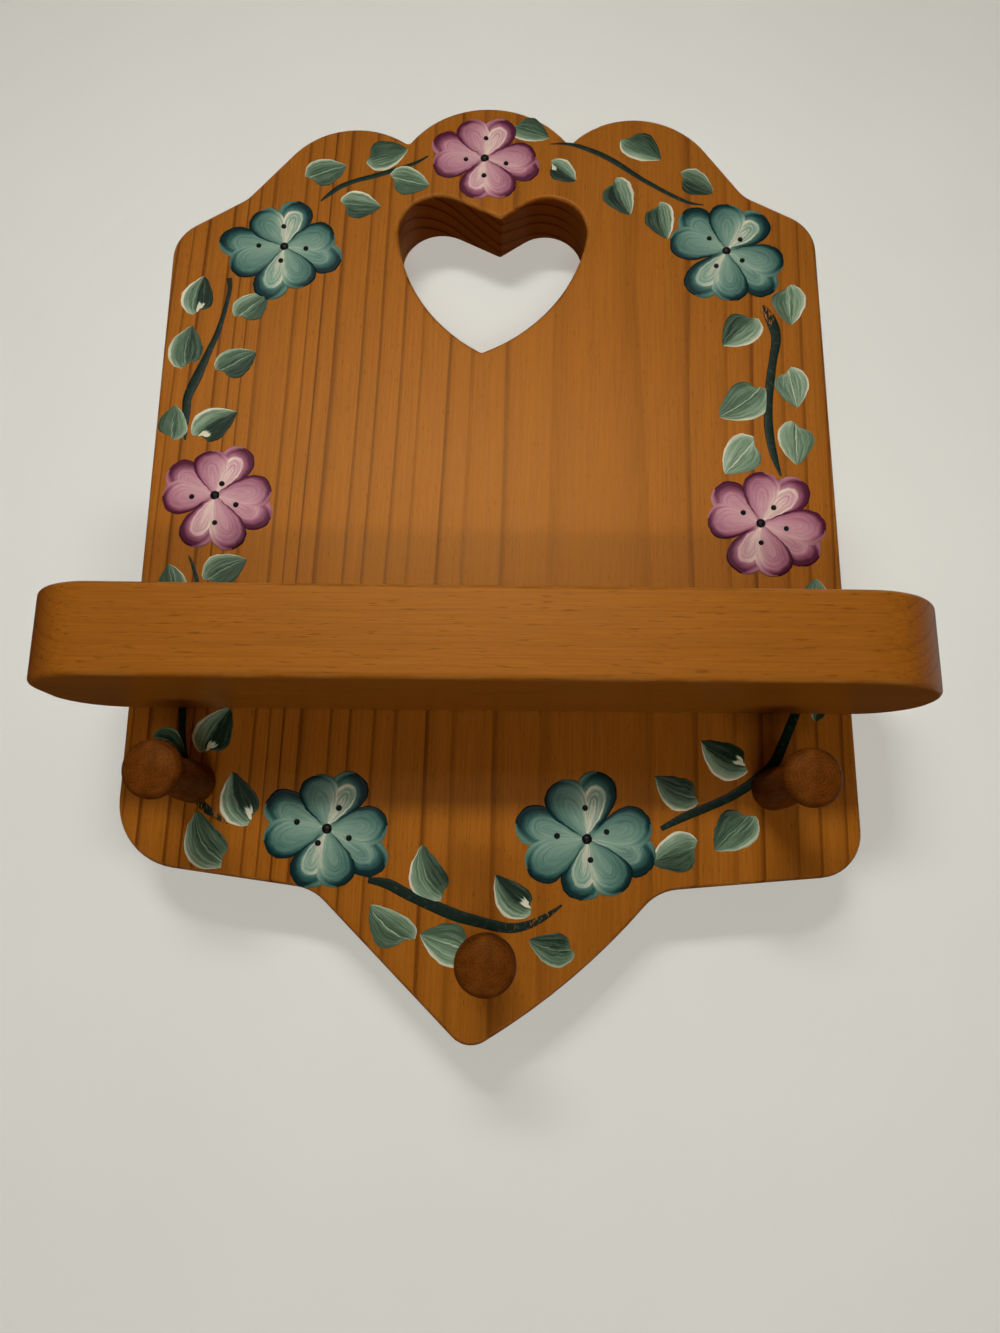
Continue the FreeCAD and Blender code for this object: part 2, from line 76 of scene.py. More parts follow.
# Flowers in picture pixels. Each petal has two lobes, given by their far ends, the one on top first.
FLOWERS = {
    "flower_crest": {
        "paint": "mauve",
        "centre": (484.7, 158.6),
        "petals": [
            ((433, 166), (434, 140)), ((467.5, 121), (507, 120.5)),
            ((536, 156), (539, 171)), ((506.5, 196.5), (471.5, 198)),
        ],
        "dots": [(466, 160), (486, 139), (506, 164), (484, 176)],
    },
    "flower_upper_left": {
        "paint": "teal",
        "centre": (284.4, 246.8),
        "petals": [
            ((231, 268.5), (219.5, 240.5)), ((258.5, 212), (300, 202)),
            ((334.5, 233.5), (341, 262.5)), ((305, 286.5), (265.5, 299)),
        ],
        "dots": [(259, 246), (284, 227), (306, 249), (281, 261)],
    },
    "flower_upper_right": {
        "paint": "teal",
        "centre": (726.3, 251.2),
        "petals": [
            ((670, 240), (683.5, 211.5)), ((727, 204.5), (763.5, 215.5)),
            ((783, 265.5), (773, 292.5)), ((731.5, 301), (692.5, 294.5)),
        ],
        "dots": [(709, 239), (740, 240), (742, 261), (716, 266.5)],
    },
    "flower_left": {
        "paint": "mauve",
        "centre": (215, 495.4),
        "petals": [
            ((162.5, 498), (170, 468)), ((210, 451), (246, 448.5)),
            ((271.5, 490.5), (270.5, 520.5)), ((234, 549), (189.5, 546)),
        ],
        "dots": [(192, 497), (222, 484), (236, 505), (215, 523)],
    },
    "flower_right": {
        "paint": "mauve",
        "centre": (760.7, 523.5),
        "petals": [
            ((707.5, 520), (715.5, 487.5)), ((762, 472.5), (804, 482)),
            ((826, 529), (818.5, 559)), ((780, 576), (738.5, 572)),
        ],
        "dots": [(743, 513), (773.5, 508), (786, 529), (761, 543)],
    },
    "flower_lower_left": {
        "paint": "teal",
        "centre": (327, 828.8),
        "petals": [
            ((264, 842.5), (266.5, 800.5)), ((315.5, 775.5), (358, 774)),
            ((387.5, 824), (384.5, 868.5)), ((339, 886.5), (301.5, 886.5)),
        ],
        "dots": [(297, 822), (339, 808), (349, 838), (318, 843)],
    },
    "flower_lower_right": {
        "paint": "teal",
        "centre": (586.9, 839.2),
        "petals": [
            ((527.5, 871.5), (515.5, 820.5)), ((556.5, 782), (600, 772)),
            ((651, 822), (655, 862)), ((623, 891.5), (580, 900.5)),
        ],
        "dots": [(557, 836), (585, 808), (606.5, 832), (590.5, 860)],
    },
}
# Cream on the left, top, right and bottom petals: along the upper lobe's edge, and nested in the lower
# lobe.
PETAL_CREAM = [(0.3, 0.15), (0.75, 1), (0.4, 0.3), (0.8, 0.8)]
# Leaves in picture pixels: the middle and the tip; how much darker one half is than the other, above zero
# where the dark half is on the left of the tip; how much paler the whole leaf is; and how far its belly
# curls left.
LEAVES = [
    ((325, 173), (347, 166), -0.1, -0.05, 0.03),
    ((385, 155), (408, 149), 0.5, -0.05, 0),
    ((408, 181), (430, 186), -0.3, 0, 0),
    ((359, 205), (381, 207), -0.6, 0, 0),
    ((200, 297), (205, 276), -1, 0, 0.06),
    ((188, 349), (192, 326), -0.4, -0.05, 0.05),
    ((235, 363), (256, 352), -0.3, -0.1, 0),
    ((251, 307), (268, 294), -0.2, -0.05, 0),
    ((173, 424), (175, 405), 0.15, -0.05, 0),
    ((214, 426), (237, 412), -0.9, 0, 0.06),
    ((529, 131), (549, 138), 0.4, -0.05, 0.04),
    ((562, 171), (576, 181), -0.9, 0, 0),
    ((640, 148), (661, 160), 0.5, -0.05, 0.04),
    ((695, 183), (713, 193), -0.4, -0.1, 0),
    ((621, 195), (630, 215), -0.8, 0, -0.06),
    ((662, 219), (667, 239), -0.7, 0, -0.06),
    ((789, 303), (791, 325), -0.35, 0.1, 0),
    ((741, 330), (723, 346), -0.7, 0.05, 0),
    ((743, 400), (719, 417), -0.1, 0, 0.05),
    ((792, 386), (797, 408), -0.1, 0.1, 0),
    ((742, 455), (725, 474), 0.05, 0.16, 0),
    ((796, 441), (797, 465), 0.05, 0.1, 0),
    ((172, 583), (169, 564), 0.3, -0.05, 0),
    ((224, 571), (247, 559), -0.3, -0.05, 0.04),
    ((816, 598), (816, 578), 0.2, 0, 0),
    ((167, 744), (185, 753), -0.2, -0.25, 0.1),
    ((216, 733), (231, 708), -1, 0, 0.05),
    ((243, 800), (233, 772), -0.9, 0, 0.1),
    ((211, 840), (196, 811), -0.3, 0, 0.14),
    ((434, 874), (422, 845), -0.6, 0, 0.14),
    ((393, 925), (370, 905), 0.1, -0.02, 0.1),
    ((448, 944), (420, 934), -0.3, 0.05, 0),
    ((516, 895), (496, 875), -1, 0, 0.12),
    ((554, 946), (529, 940), -0.3, -0.13, 0.08),
    ((677, 853), (651, 863), 0.5, 0, 0),
    ((735, 830), (714, 850), -0.3, -0.05, 0),
    ((679, 789), (655, 777), -0.5, -0.05, 0.1),
    ((727, 756), (701, 741), -1, 0, 0.1),
    ((818, 712), (815, 722), 0.6, -0.1, 0),
]
# Tone across a leaf, from the outer edge of the pale half over the line where the halves meet to the other
# edge: of a leaf with like halves, and of one with a dark half.
EVEN_LEAF = [
    (0, 0.85), (0.03, 0.78), (0.08, 0.54), (0.3, 0.47), (0.44, 0.36), (0.48, 0.3), (0.5, 0.85),
    (0.535, 0.46), (0.8, 0.4), (1, 0.36),
]
SPLIT_LEAF = [
    (0, 1.1), (0.06, 1), (0.12, 0.6), (0.3, 0.5), (0.44, 0.42), (0.5, 0.2), (0.56, 0.1), (0.8, 0.06),
    (1, 0.12),
]
# Vines in picture pixels, with the width of the stroke at each point in millimetres and, where the brush
# ran dry, how dry it was.
VINES = [
    [(428, 156, 0.5), (413, 164, 1.1), (376, 175.5, 1.6), (355, 181, 1.4), (340, 187, 1.6), (327, 196, 1.1),
     (321, 201, 0.4)],
    [(229, 278, 1.6), (229.5, 292, 1.1), (219, 329, 1.5), (209, 351, 1.8), (197, 377, 2.6), (188, 396, 2.4),
     (186, 415, 2), (185, 440, 0.5)],
    [(550, 144, 0.3), (574, 145, 1.2), (608, 158, 1.7), (645, 181, 1.4), (684, 201, 1.1), (704, 205, 0.3)],
    [(762, 306, 1.6, 0.75), (771, 320, 3, 0.45), (776, 338, 2.7, 0.05), (773, 360, 2.2), (770, 383, 2.4),
     (768.5, 406, 2.2), (769, 430, 2.4), (774, 456, 1.9), (781, 476, 0.6)],
    [(189, 556, 0.4), (193, 566, 0.9), (197, 582, 1.1), (199, 604, 1.2)],
    [(183, 700, 1.8), (182, 732, 1.8), (184, 752, 1.7), (190, 780, 1.6), (200, 802, 2, 0.4),
     (212, 813, 1.7, 0.5), (228, 824, 0.4, 0.6)],
    [(368, 880, 1.4), (388, 884, 2.4), (409, 895, 2.5), (450, 913, 2.8), (472, 920, 2.6),
     (507, 928, 2.3, 0.2), (528, 925, 1.9, 0.35), (545, 917, 1.4, 0.4), (562, 905, 0.5, 0.5)],
    [(796, 712, 2.2), (784, 742, 2.4), (773, 765, 2.6), (756, 780, 2.4), (732, 796, 2.1), (708, 807, 2),
     (682, 818, 1.9), (661, 829, 1.2)],
]
# Strokes: a leaf's reach for the length from its tip to its middle, how broad strokes are for their
# length, how much slimmer a curled leaf is, how drawn out the point is, and how much shorter the dark
# half is.
LEAF_REACH = 1.86
PETAL_BREADTH, LEAF_BREADTH, CURL_SLIMMING = 0.43, 0.47, 0.5
PETAL_SHARPNESS, LEAF_SHARPNESS = 1.2, 0.72
PETAL_STEP, LEAF_STEP = 0.0, 0.14
# Paint: coats of an under lobe, and how many more the lobe on top and each next petal have; how deep a
# stroke is sunk, how high a dot is and how far a hand shakes, in millimetres; and how flat a vine is.
UNDER_COATS, TOP_COATS, NEXT_COATS = 1.5, 1.2, 0.12
SUNK_MM, DOT_HEIGHT_MM, SHAKE_MM = 0.02, 0.8, 0.9
VINE_FLATNESS = 0.07
# How finely strokes and dots are divided, the seed of the strokes' streaks, and how far apart the patterns
# of two strokes are taken.
PETAL_RIM, LEAF_RIM, STROKE_RINGS, VINE_STEPS, VINE_SIDES = 49, 41, 12, 40, 10
DOT_SEGMENTS, DOT_RINGS = 20, 12
STREAK_SEED, STROKES_APART = 7, 90

# Darkness of one growth ring, from spring over the late line to the next spring.
RING_PROFILE = [(0, 0), (0.5, 0.03), (0.78, 0.2), (0.88, 0.85), (0.95, 1), (1, 0)]
# Where each board was sawn from the tree, how many degrees the back board's grain leans, and pores' widths.
BOARD_FROM_PITH_MM, SHELF_FROM_PITH_MM = (-28, 77, 0), (30, 90, 0)
BOARD_LEAN = -1.7
BOARD_PORE_MM, SHELF_PORE_MM = 0.3, 0.5
# How far growth rings sway, in millimetres, and how strong each peg's lathe marks are.
RING_SWAY_MM = 4
PEG_MARKS = {"peg_left": 0.04, "peg_centre": 0.06, "peg_right": 0.11}
# What varnish over stain mirrors is tinted, and dry acrylic is dull.
STAIN_TINT = "#FFBC73"
ACRYLIC = {"IOR": 1.48, "Specular_IOR_Level": 0.08}

# Lamps: the setting for its power, the piece that it faces, the way to it from there, its distance, width
# and height in metres, its spread in degrees, and the rays that don't see it.
LAMPS = {
    "Key lamp": ("key", "back_board", (-0.16, -1, 0.56), 0.8, 0.3, 0.08, 45, ["glossy"]),
    "Window": ("window", "back_board", (-0.02, -0.92, 0.38), 1, 0.5, 0.15, 180, ["diffuse"]),
    "Low lamp": ("low", "shelf", (0.05, -1, -0.7), 1.1, 0.4, 0.08, 180, []),
    "Back lamp": ("fill", "shelf", (0.5, 0.7, 1), 1.2, 0.8, 0.8, 180, ["glossy"]),
}
# The room that varnish and steel mirror: its pale side, and the tints of its light and its mirror image.
PALE_SIDE = (0.93, 0.37, 0)
ROOM_TINT, MIRROR_TINT = (1, 0.72, 0.48, 1), (1, 0.95, 0.88, 1)
# How far the wall reaches in metres, and how far it is behind the hanger.
WALL_REACH, WALL_GAP_MM = 40, 0.5


def linear(hex_colour):
    """An sRGB hex colour as linear red, green and blue."""
    channels = [int(hex_colour[start:start + 2], 16) / 255 for start in (1, 3, 5)]
    return tuple(c / 12.92 if c <= 0.04045 else ((c + 0.055) / 1.055) ** 2.4 for c in channels)


def rgba(colour):
    """A colour setting with full cover."""
    return (*colour, 1)


def camera_turn():
    """How the camera is turned: yaw to the right, pitch up, and roll about its own line of sight."""
    yaw = Matrix.Rotation(math.radians(-CAMERA_YAW), 3, "Z")
    pitch = Matrix.Rotation(math.radians(90 + CAMERA_PITCH), 3, "X")
    roll = Matrix.Rotation(math.radians(CAMERA_ROLL), 3, "Z")
    return yaw @ pitch @ roll


def on_board(pixel):
    """Where a picture pixel falls on the front of the board, across and up."""
    across = (pixel[0] - PICTURE_WIDTH / 2) / FOCAL_PIXELS
    up = (PICTURE_HEIGHT / 2 - pixel[1]) / FOCAL_PIXELS
    sight = camera_turn() @ Vector((across, up, -1))
    start = CAMERA_MM * MM
    spot = start + sight * ((FRONT - start.y) / sight.y)
    return Vector((spot.x, spot.z, 0))


def colour_setting(name, description, hex_colour):
    """A colour that a user may change."""
    return FloatVectorProperty(
        name=name, description=description, default=linear(hex_colour), size=3, min=0, max=1,
        subtype="COLOR",
    )


def length_setting(name, description, millimetres):
    """A length that a user may change."""
    return FloatProperty(
        name=name, description=description, default=millimetres * MM, min=0, precision=5,
        subtype="DISTANCE", unit="LENGTH",
    )


def light_setting(name, description, strength):
    """The power of a lamp, or the strength of light, that a user may change."""
    return FloatProperty(name=name, description=description, default=strength, min=0)


class PineSettings(bpy.types.PropertyGroup):
    """Stain and growth rings of the pine"""
    early: colour_setting("Earlywood", "Stained colour of the pale spring wood", "#985A17")
    late: colour_setting("Latewood", "Stained colour of the dark growth lines", "#5A2A06")
    soaked: colour_setting("End grain", "Colour where the end grain has soaked up the stain", "#521101")
    # Paler colour of rounded edges: partly stain thinned by hands, partly a painted highlight along the
    # rims.
    worn_and_highlit: colour_setting("Worn edge", "Colour where handling has thinned the stain", "#B57A3A")
    board_ring: length_setting("Board ring", "Width of one growth ring in the board", 3.8)
    shelf_ring: length_setting("Shelf ring", "Width of one growth ring in the shelf", 2.4)


class PegSettings(bpy.types.PropertyGroup):
    """Stain and turning marks of the pegs"""
    stain: colour_setting("Stain", "Colour of the turned wood", "#64340C")
    pores: colour_setting("Pores", "Colour of the open end grain", "#351804")
    tool_step: length_setting("Tool step", "Distance between the lathe's marks", 0.9)


class SteelSettings(bpy.types.PropertyGroup):
    """Plated steel of the screws, hanger and nails"""
    plating: colour_setting("Plating", "Colour of the plated steel", "#C4C2BB")
    tarnish: colour_setting("Tarnish", "Colour of the dull spots", "#85827A")


class FlowerSettings(bpy.types.PropertyGroup):
    """Paints and stroke sizes of the flowers"""
    mauve_rim: colour_setting("Mauve rim", "Darkest mauve, round the petals", "#4F1730")
    mauve_deep: colour_setting("Deep mauve", "Mauve inside the rim", "#8A4B61")
    mauve: colour_setting("Mauve", "Middle mauve", "#B67F8B")
    mauve_pale: colour_setting("Pale mauve", "Mauve picked up with white", "#CFA5A6")
    teal_rim: colour_setting("Teal rim", "Darkest teal, round the petals", "#052527")
    teal_deep: colour_setting("Deep teal", "Teal inside the rim", "#2D564F")
    teal: colour_setting("Teal", "Middle teal", "#5F8375")
    teal_pale: colour_setting("Pale teal", "Teal picked up with white", "#8CA893")
    cream: colour_setting("Cream", "White paint warmed by the varnish", "#E9DBC2")
    dot: colour_setting("Dot", "Black of the flowers' dots", "#0C0A09")
    edge: length_setting("Edge", "Height of a stroke's edge", 0.05)
    crown: length_setting("Crown", "Height of a stroke's middle", 0.11)
    centre_dot: length_setting("Centre dot", "Diameter of the dot in the middle", 2.5)
    small_dot: length_setting("Small dot", "Diameter of the four dots round it", 1.5)


class LeafSettings(bpy.types.PropertyGroup):
    """Paints of the leaves and vines"""
    deep: colour_setting("Deep green", "Shaded half of a leaf", "#182A1D")
    green: colour_setting("Green", "Middle green", "#526A52")
    pale: colour_setting("Pale green", "Green picked up with white", "#8BA386")
    cream: colour_setting("Cream", "White paint along a leaf's edge", "#DCD8BC")
    vine: colour_setting("Vine", "Green of the vines", "#12241A")


class StageSettings(bpy.types.PropertyGroup):
    """Wall and light"""
    wall: colour_setting("Wall", "Colour of the pale wall", "#D5D5CD")
    key: light_setting("Key", "Power of the lamp above the camera", 0.28)
    window: light_setting("Window", "Power of the window that the varnish mirrors", 7.5)
    low: light_setting("Low", "Power of the weaker lamp below the camera", 3.2)
    fill: light_setting("Fill", "Power of the soft lamp behind", 11)
    ambient: light_setting("Ambient", "Strength of the light all round", 0.13)


def feed(tree, node, *values, **named):
    """Set or link inputs, by place or by name with _ for a space; a node gives its first output."""
    for key, value in (*enumerate(values), *named.items()):
        if isinstance(key, int):
            socket = node.inputs[key]
        else:
            label = key.replace("_", " ")
            socket = next(item for item in node.inputs if item.name == label and item.enabled)
        for source in value if isinstance(value, list) else [value]:
            if isinstance(source, bpy.types.Node):
                source = next(item for item in source.outputs if item.enabled)
            if isinstance(source, bpy.types.NodeSocket):
                tree.links.new(source, socket)
            else:
                socket.default_value = source


def add_node(tree, kind, *values, **named):
    """Add a node with its settings and links; a kind that says no other is a shader node.

    Values go to its inputs in order, and names with a capital to the inputs of that name. Other names are
    settings. stops are a ramp's places, each with a colour or a grey.
    """
    node = tree.nodes.new(kind if "Node" in kind else f"ShaderNode{kind}")
    inputs = {name: named.pop(name) for name in list(named) if not name.islower()}
    for name, value in named.items():
        if name == "stops":
            ramp = node.color_ramp.elements
            while len(ramp) < len(value):
                ramp.new(1)
            for stop, (position, colour) in zip(ramp, value):
                stop.position = position
                stop.color = colour if isinstance(colour, tuple) else (colour, colour, colour, 1)
        else:
            setattr(node, name, value)
    feed(tree, node, *values, **inputs)
    return node


def new_material(name, **plain):
    """A material whose plain values are on its shader's own sockets.

    It comes with a function that adds nodes to it and one that feeds its shader.
    """
    material = bpy.data.materials.new(name)
    material.use_nodes = True
    tree = material.node_tree
    surface = partial(feed, tree, tree.nodes["Principled BSDF"])
    surface(**plain)
    return material, partial(add_node, tree), surface


def finish(node, surface, colour, pattern, gloss, relief, height=None):
    """Feed a shader with its colour, a roughness that follows a pattern, and bumps.

    gloss is how far the roughness follows the pattern and where it starts. relief is the strength of the
    bumps and their height in millimetres; they follow the pattern too, unless height is given.
    """
    strength, depth = relief
    bumps = pattern if height is None else height
    surface(
        Base_Color=colour,
        Roughness=node("Math", pattern, *gloss, operation="MULTIPLY_ADD"),
        Normal=node("Bump", Strength=strength, Distance=depth * MM, Height=bumps),
    )


def stained_pine(name, pine, ring, turn, from_pith, face_axis, line_strength, pore):
    """Planed pine under orange stain and satin varnish.

    The eye sees thin dark growth lines with one sharp side, fine fibre streaks along the grain, short
    pores, darker end grain where the stain sinks in, and paler wood in patches along rounded edges: partly
    stain thinned by hands, partly a painted highlight where the rims catch the light. Fibres and pores are
    drawn coarser than real ones, so that they show. ring is a growth ring's width in metres. turn lays the
    grain upright. from_pith is where the part's origin lay from the tree's centre, and pore is a pore's
    width, both in millimetres. face_axis is the way that the broad face looks.
    """
    material, node, surface = new_material(
        name, IOR=1.5, Specular_IOR_Level=0.2, Specular_Tint=rgba(linear(STAIN_TINT)),
    )
    coords = node("TexCoord")
    normal = coords.outputs["Normal"]
    wood = node("Mapping", coords.outputs["Object"], Location=from_pith, Rotation=turn, Scale=PER_MM)
    # Each pattern has its detail and its size in millimetres.
    waver, fibre, streak, cloud, specks, edge_patches = [
        node("TexNoise", node("VectorMath", wood, size, operation="DIVIDE"), Scale=1, Detail=detail)
        for detail, size in (
            (1, (60, 60, 200)), (3, (0.45, 0.45, 16)), (2, (5, 5, 240)), (2, (36, 36, 70)),
            (1, (pore, pore, 9 * pore)), (2, (7, 7, 7)),
        )
    ]

    # Growth rings round the pith sway, and differ in width and strength.
    sway = (RING_SWAY_MM, RING_SWAY_MM, 0)
    wavy = node("VectorMath", waver.outputs["Color"], sway, wood, operation="MULTIPLY_ADD")
    outward = node("VectorMath", wavy, (1, 1, 0), operation="MULTIPLY")
    radius = node("VectorMath", outward, operation="LENGTH")
    two_rings = node("Math", radius, 2 * ring / MM, operation="DIVIDE")
    years = node("TexNoise", W=two_rings, Scale=1, Detail=0, noise_dimensions="1D")
    grown = node("Math", years, 0.9 * ring / MM, radius, operation="MULTIPLY_ADD")
    rings = node("Math", grown, ring / MM, operation="DIVIDE")
    chance = node("TexWhiteNoise", W=node("Math", rings, operation="FLOOR"), noise_dimensions="1D")
    line = node("ValToRGB", node("Math", rings, operation="FRACT"), stops=RING_PROFILE)
    across = node("Math", node("SeparateXYZ", outward).outputs["X"], operation="ABSOLUTE")
    steep = node("Math", across, radius, operation="DIVIDE")
    clear = node("MapRange", steep, From_Min=0.15, From_Max=0.75, To_Min=0.3, To_Max=1)
    uneven = node("MapRange", chance, To_Min=0.5 * line_strength, To_Max=line_strength)
    strength = node("Math", clear, uneven, operation="MULTIPLY")
    dark = node("Math", line, strength, operation="MULTIPLY")

    # Along the fibres the wood is paler or darker, with dark pores.
    pores = node("MapRange", specks, From_Min=0.62, From_Max=0.74)
    shade = 0.5
    for pattern, weight in ((fibre, 0.6), (streak, 0.22), (cloud, 0.22), (pores, -0.35)):
        shade = node("Math", pattern, weight, shade, operation="MULTIPLY_ADD")

    # End grain drinks the stain, most of all in the dark lines.
    facing = node("Mapping", normal, Rotation=turn, vector_type="VECTOR")
    along = node("Math", node("SeparateXYZ", facing).outputs["Z"], operation="ABSOLUTE")
    end_grain = node("MapRange", along, From_Min=0.3, From_Max=0.95, To_Max=0.9)
    drunk = node("Math", line, 0.47, 0.63, operation="MULTIPLY_ADD")
    soaked = node("Math", end_grain, drunk, operation="MULTIPLY")
    grain = node("Mix", Factor=dark, A=rgba(pine.early), B=rgba(pine.late), data_type="RGBA")
    grain = node("Mix", Factor=soaked, A=grain, B=rgba(pine.soaked), data_type="RGBA")
    stained = node("VectorMath", grain, Scale=shade, operation="SCALE")

    # On rounded edges hands have thinned the stain in places; the paler colour there is also a painted
    # highlight along the rims.
    square_on = node("VectorMath", normal, face_axis, operation="DOT_PRODUCT")
    square_on = node("Math", node("Math", square_on, operation="ABSOLUTE"), 2, operation="POWER")
    edge = node("Math", square_on, 0.5, operation="PINGPONG")
    edge_patches = node("MapRange", edge_patches, From_Min=0.35, From_Max=0.65, To_Max=1.3)
    # Paler in patches on rounded edges: partly thinned stain, partly a painted highlight.
    worn_and_highlit = node("Math", edge, edge_patches, operation="MULTIPLY", use_clamp=True)
    colour = node("Mix", Factor=worn_and_highlit, A=stained, B=rgba(pine.worn_and_highlit), data_type="RGBA")
    pitted = node("Math", pores, -0.7, fibre, operation="MULTIPLY_ADD")
    finish(node, surface, colour, fibre, gloss=(0.14, 0.3), relief=(0.35, 0.06), height=pitted)
    return material


def turned_birch(name, peg, centre, mark_strength):
    """Birch turned on a lathe and stained dark.

    The eye sees fine rings that the tool left, open end grain on the face of the head, and streaks along
    the shaft. Rings and pores are drawn coarser than real ones, so that they show. centre is on the peg's
    axis, in metres.
    """
    material, node, surface = new_material(
        name, IOR=1.5, Specular_IOR_Level=0.1, Specular_Tint=rgba(linear(STAIN_TINT)),
    )
    middle = tuple(-part / MM for part in centre)
    wood = node("Mapping", node("TexCoord").outputs["Object"], Location=middle, Scale=PER_MM)
    # Each pattern has its detail and its size in millimetres.
    uneven, fibre = [
        node("TexNoise", node("VectorMath", wood, size, operation="DIVIDE"), Scale=1, Detail=detail)
        for detail, size in ((2, (3, 3, 3)), (3, (0.4, 7, 0.4)))
    ]
    outward = node("VectorMath", wood, (1, 0, 1), operation="MULTIPLY")
    radius = node("VectorMath", outward, operation="LENGTH")
    travel = node("Math", radius, node("SeparateXYZ", wood).outputs["Y"], operation="ADD")
    travel = node("Math", uneven, 1.4, travel, operation="MULTIPLY_ADD")
    turns = node("Math", travel, FULL_TURN * MM / peg.tool_step, operation="MULTIPLY")
    marks = node("Math", turns, operation="SINE")
    pores = node("MapRange", fibre, From_Min=0.46, From_Max=0.68, To_Max=0.55)
    grain = node("Mix", Factor=pores, A=rgba(peg.stain), B=rgba(peg.pores), data_type="RGBA")
    shade = node("Math", uneven, 1.2, 0.38, operation="MULTIPLY_ADD")
    shade = node("Math", marks, mark_strength, shade, operation="MULTIPLY_ADD")
    colour = node("VectorMath", grain, Scale=shade, operation="SCALE")
    ridged = node("Math", marks, mark_strength, fibre, operation="MULTIPLY_ADD")
    finish(node, surface, colour, fibre, gloss=(0.2, 0.4), relief=(0.5, 0.1), height=ridged)
    return material


def plated_steel(name, steel):
    """Zinc-plated steel, stamped or drawn: a soft grey shine with duller spots and fine scratches."""
    material, node, surface = new_material(name, Metallic=1)
    metal = node("Mapping", node("TexCoord").outputs["Object"], Scale=PER_MM)
    # Each pattern has its detail and its size in millimetres.
    spots, scratches = [
        node("TexNoise", node("VectorMath", metal, size, operation="DIVIDE"), Scale=1, Detail=detail)
        for detail, size in ((4, (1.6, 1.6, 1.6)), (2, (6, 0.2, 0.2)))
    ]
    dull = node("MapRange", spots, From_Min=0.42, From_Max=0.68, To_Max=0.6)
    colour = node("Mix", Factor=dull, A=rgba(steel.plating), B=rgba(steel.tarnish), data_type="RGBA")
    finish(node, surface, colour, spots, gloss=(0.35, 0.2), relief=(0.25, 0.03), height=scratches)
    return material


def petal_paint(name, rim, deep, middle, pale, cream):
    """Craft acrylic laid with a brush that carries dark paint on one edge and white on the other.

    The eye sees a dark rim that runs through the colour to pale at the flower's middle, cream along the
    petal's midline and in a nested drop, and streaks that follow the stroke.
    """
    material, node, surface = new_material(name, **ACRYLIC)
    place = node("SeparateXYZ", node("Attribute", attribute_name="stroke").outputs["Vector"])
    across, inset, along = place.outputs
    inner_side, edge_cream, nested_cream, seed = [
        node("Attribute", attribute_name=label).outputs["Fac"]
        for label in ("inner_side", "edge_cream", "nested_cream", "stroke_seed")
    ]
    # Streaks change slowly along a stroke and quickly from its rim inwards, and each stroke has its own.
    changed = node("Math", across, 1.5, operation="MULTIPLY")
    spot = node(
        "CombineXYZ",
        node("Math", along, 2.5, operation="MULTIPLY"),
        node("Math", inset, 14, operation="MULTIPLY"),
        node("Math", seed, STROKES_APART, changed, operation="MULTIPLY_ADD"),
    )
    streaks = node("TexNoise", spot, Scale=1, Detail=3, Roughness=0.55)

    # The dark rim is covered inwards, along the inner edge and at the flower's middle.
    inwards = node("Math", across, inner_side, operation="MULTIPLY")
    free = node("Math", 1, inset, operation="SUBTRACT")
    inner_half = node("MapRange", inwards, From_Min=0.2, From_Max=0.9, interpolation_type="SMOOTHSTEP")
    inner_edge = node("Math", free, inner_half, operation="MULTIPLY")
    rim_width = node("Math", inner_side, -0.1, 0.42, operation="MULTIPLY_ADD")
    cover = node("MapRange", inset, From_Min=0.02, From_Max=rim_width, interpolation_type="SMOOTHSTEP")
    for covered in (inner_edge, node("MapRange", along, From_Min=0.3, From_Max=0.1)):
        cover = node("Math", cover, covered, operation="MAXIMUM")
    body = 0.37
    for pattern, weight in ((along, -0.24), (inset, 0.12), (inwards, 0.12), (streaks, 0.4)):
        body = node("Math", pattern, weight, body, operation="MULTIPLY_ADD")
    tone = node("Math", cover, body, operation="MULTIPLY")

    # Cream lies along the inner edge of an upper lobe, and in a lower one as a drop inside a pale loop.
    off_end = node("MapRange", along, From_Min=0.85, From_Max=0.6, To_Max=0.5)
    lit_edge = node("Math", inner_edge, edge_cream, operation="MULTIPLY")
    tone = node("Math", lit_edge, off_end, tone, operation="MULTIPLY_ADD")
    from_loop = node("Math", node("Math", inset, 0.52, operation="SUBTRACT"), operation="ABSOLUTE")
    drop, loop = [
        node(
            "MapRange", source, From_Min=start, From_Max=end, To_Max=most, interpolation_type="SMOOTHSTEP",
        )
        for source, start, end, most in ((inset, 0.42, 0.54, 0.42), (from_loop, 0.09, 0.03, 0.2))
    ]
    nested = node("Math", drop, streaks, loop, operation="MULTIPLY_ADD")
    tone = node("Math", nested, nested_cream, tone, operation="MULTIPLY_ADD")
    colour = node("ValToRGB", tone, stops=[
        (0, rgba(rim)), (0.08, rgba(rim)), (0.28, rgba(deep)), (0.5, rgba(middle)), (0.72, rgba(pale)),
        (0.98, rgba(cream)),
    ])
    finish(node, surface, colour, streaks, gloss=(0.15, 0.36), relief=(0.5, 0.06))
    return material


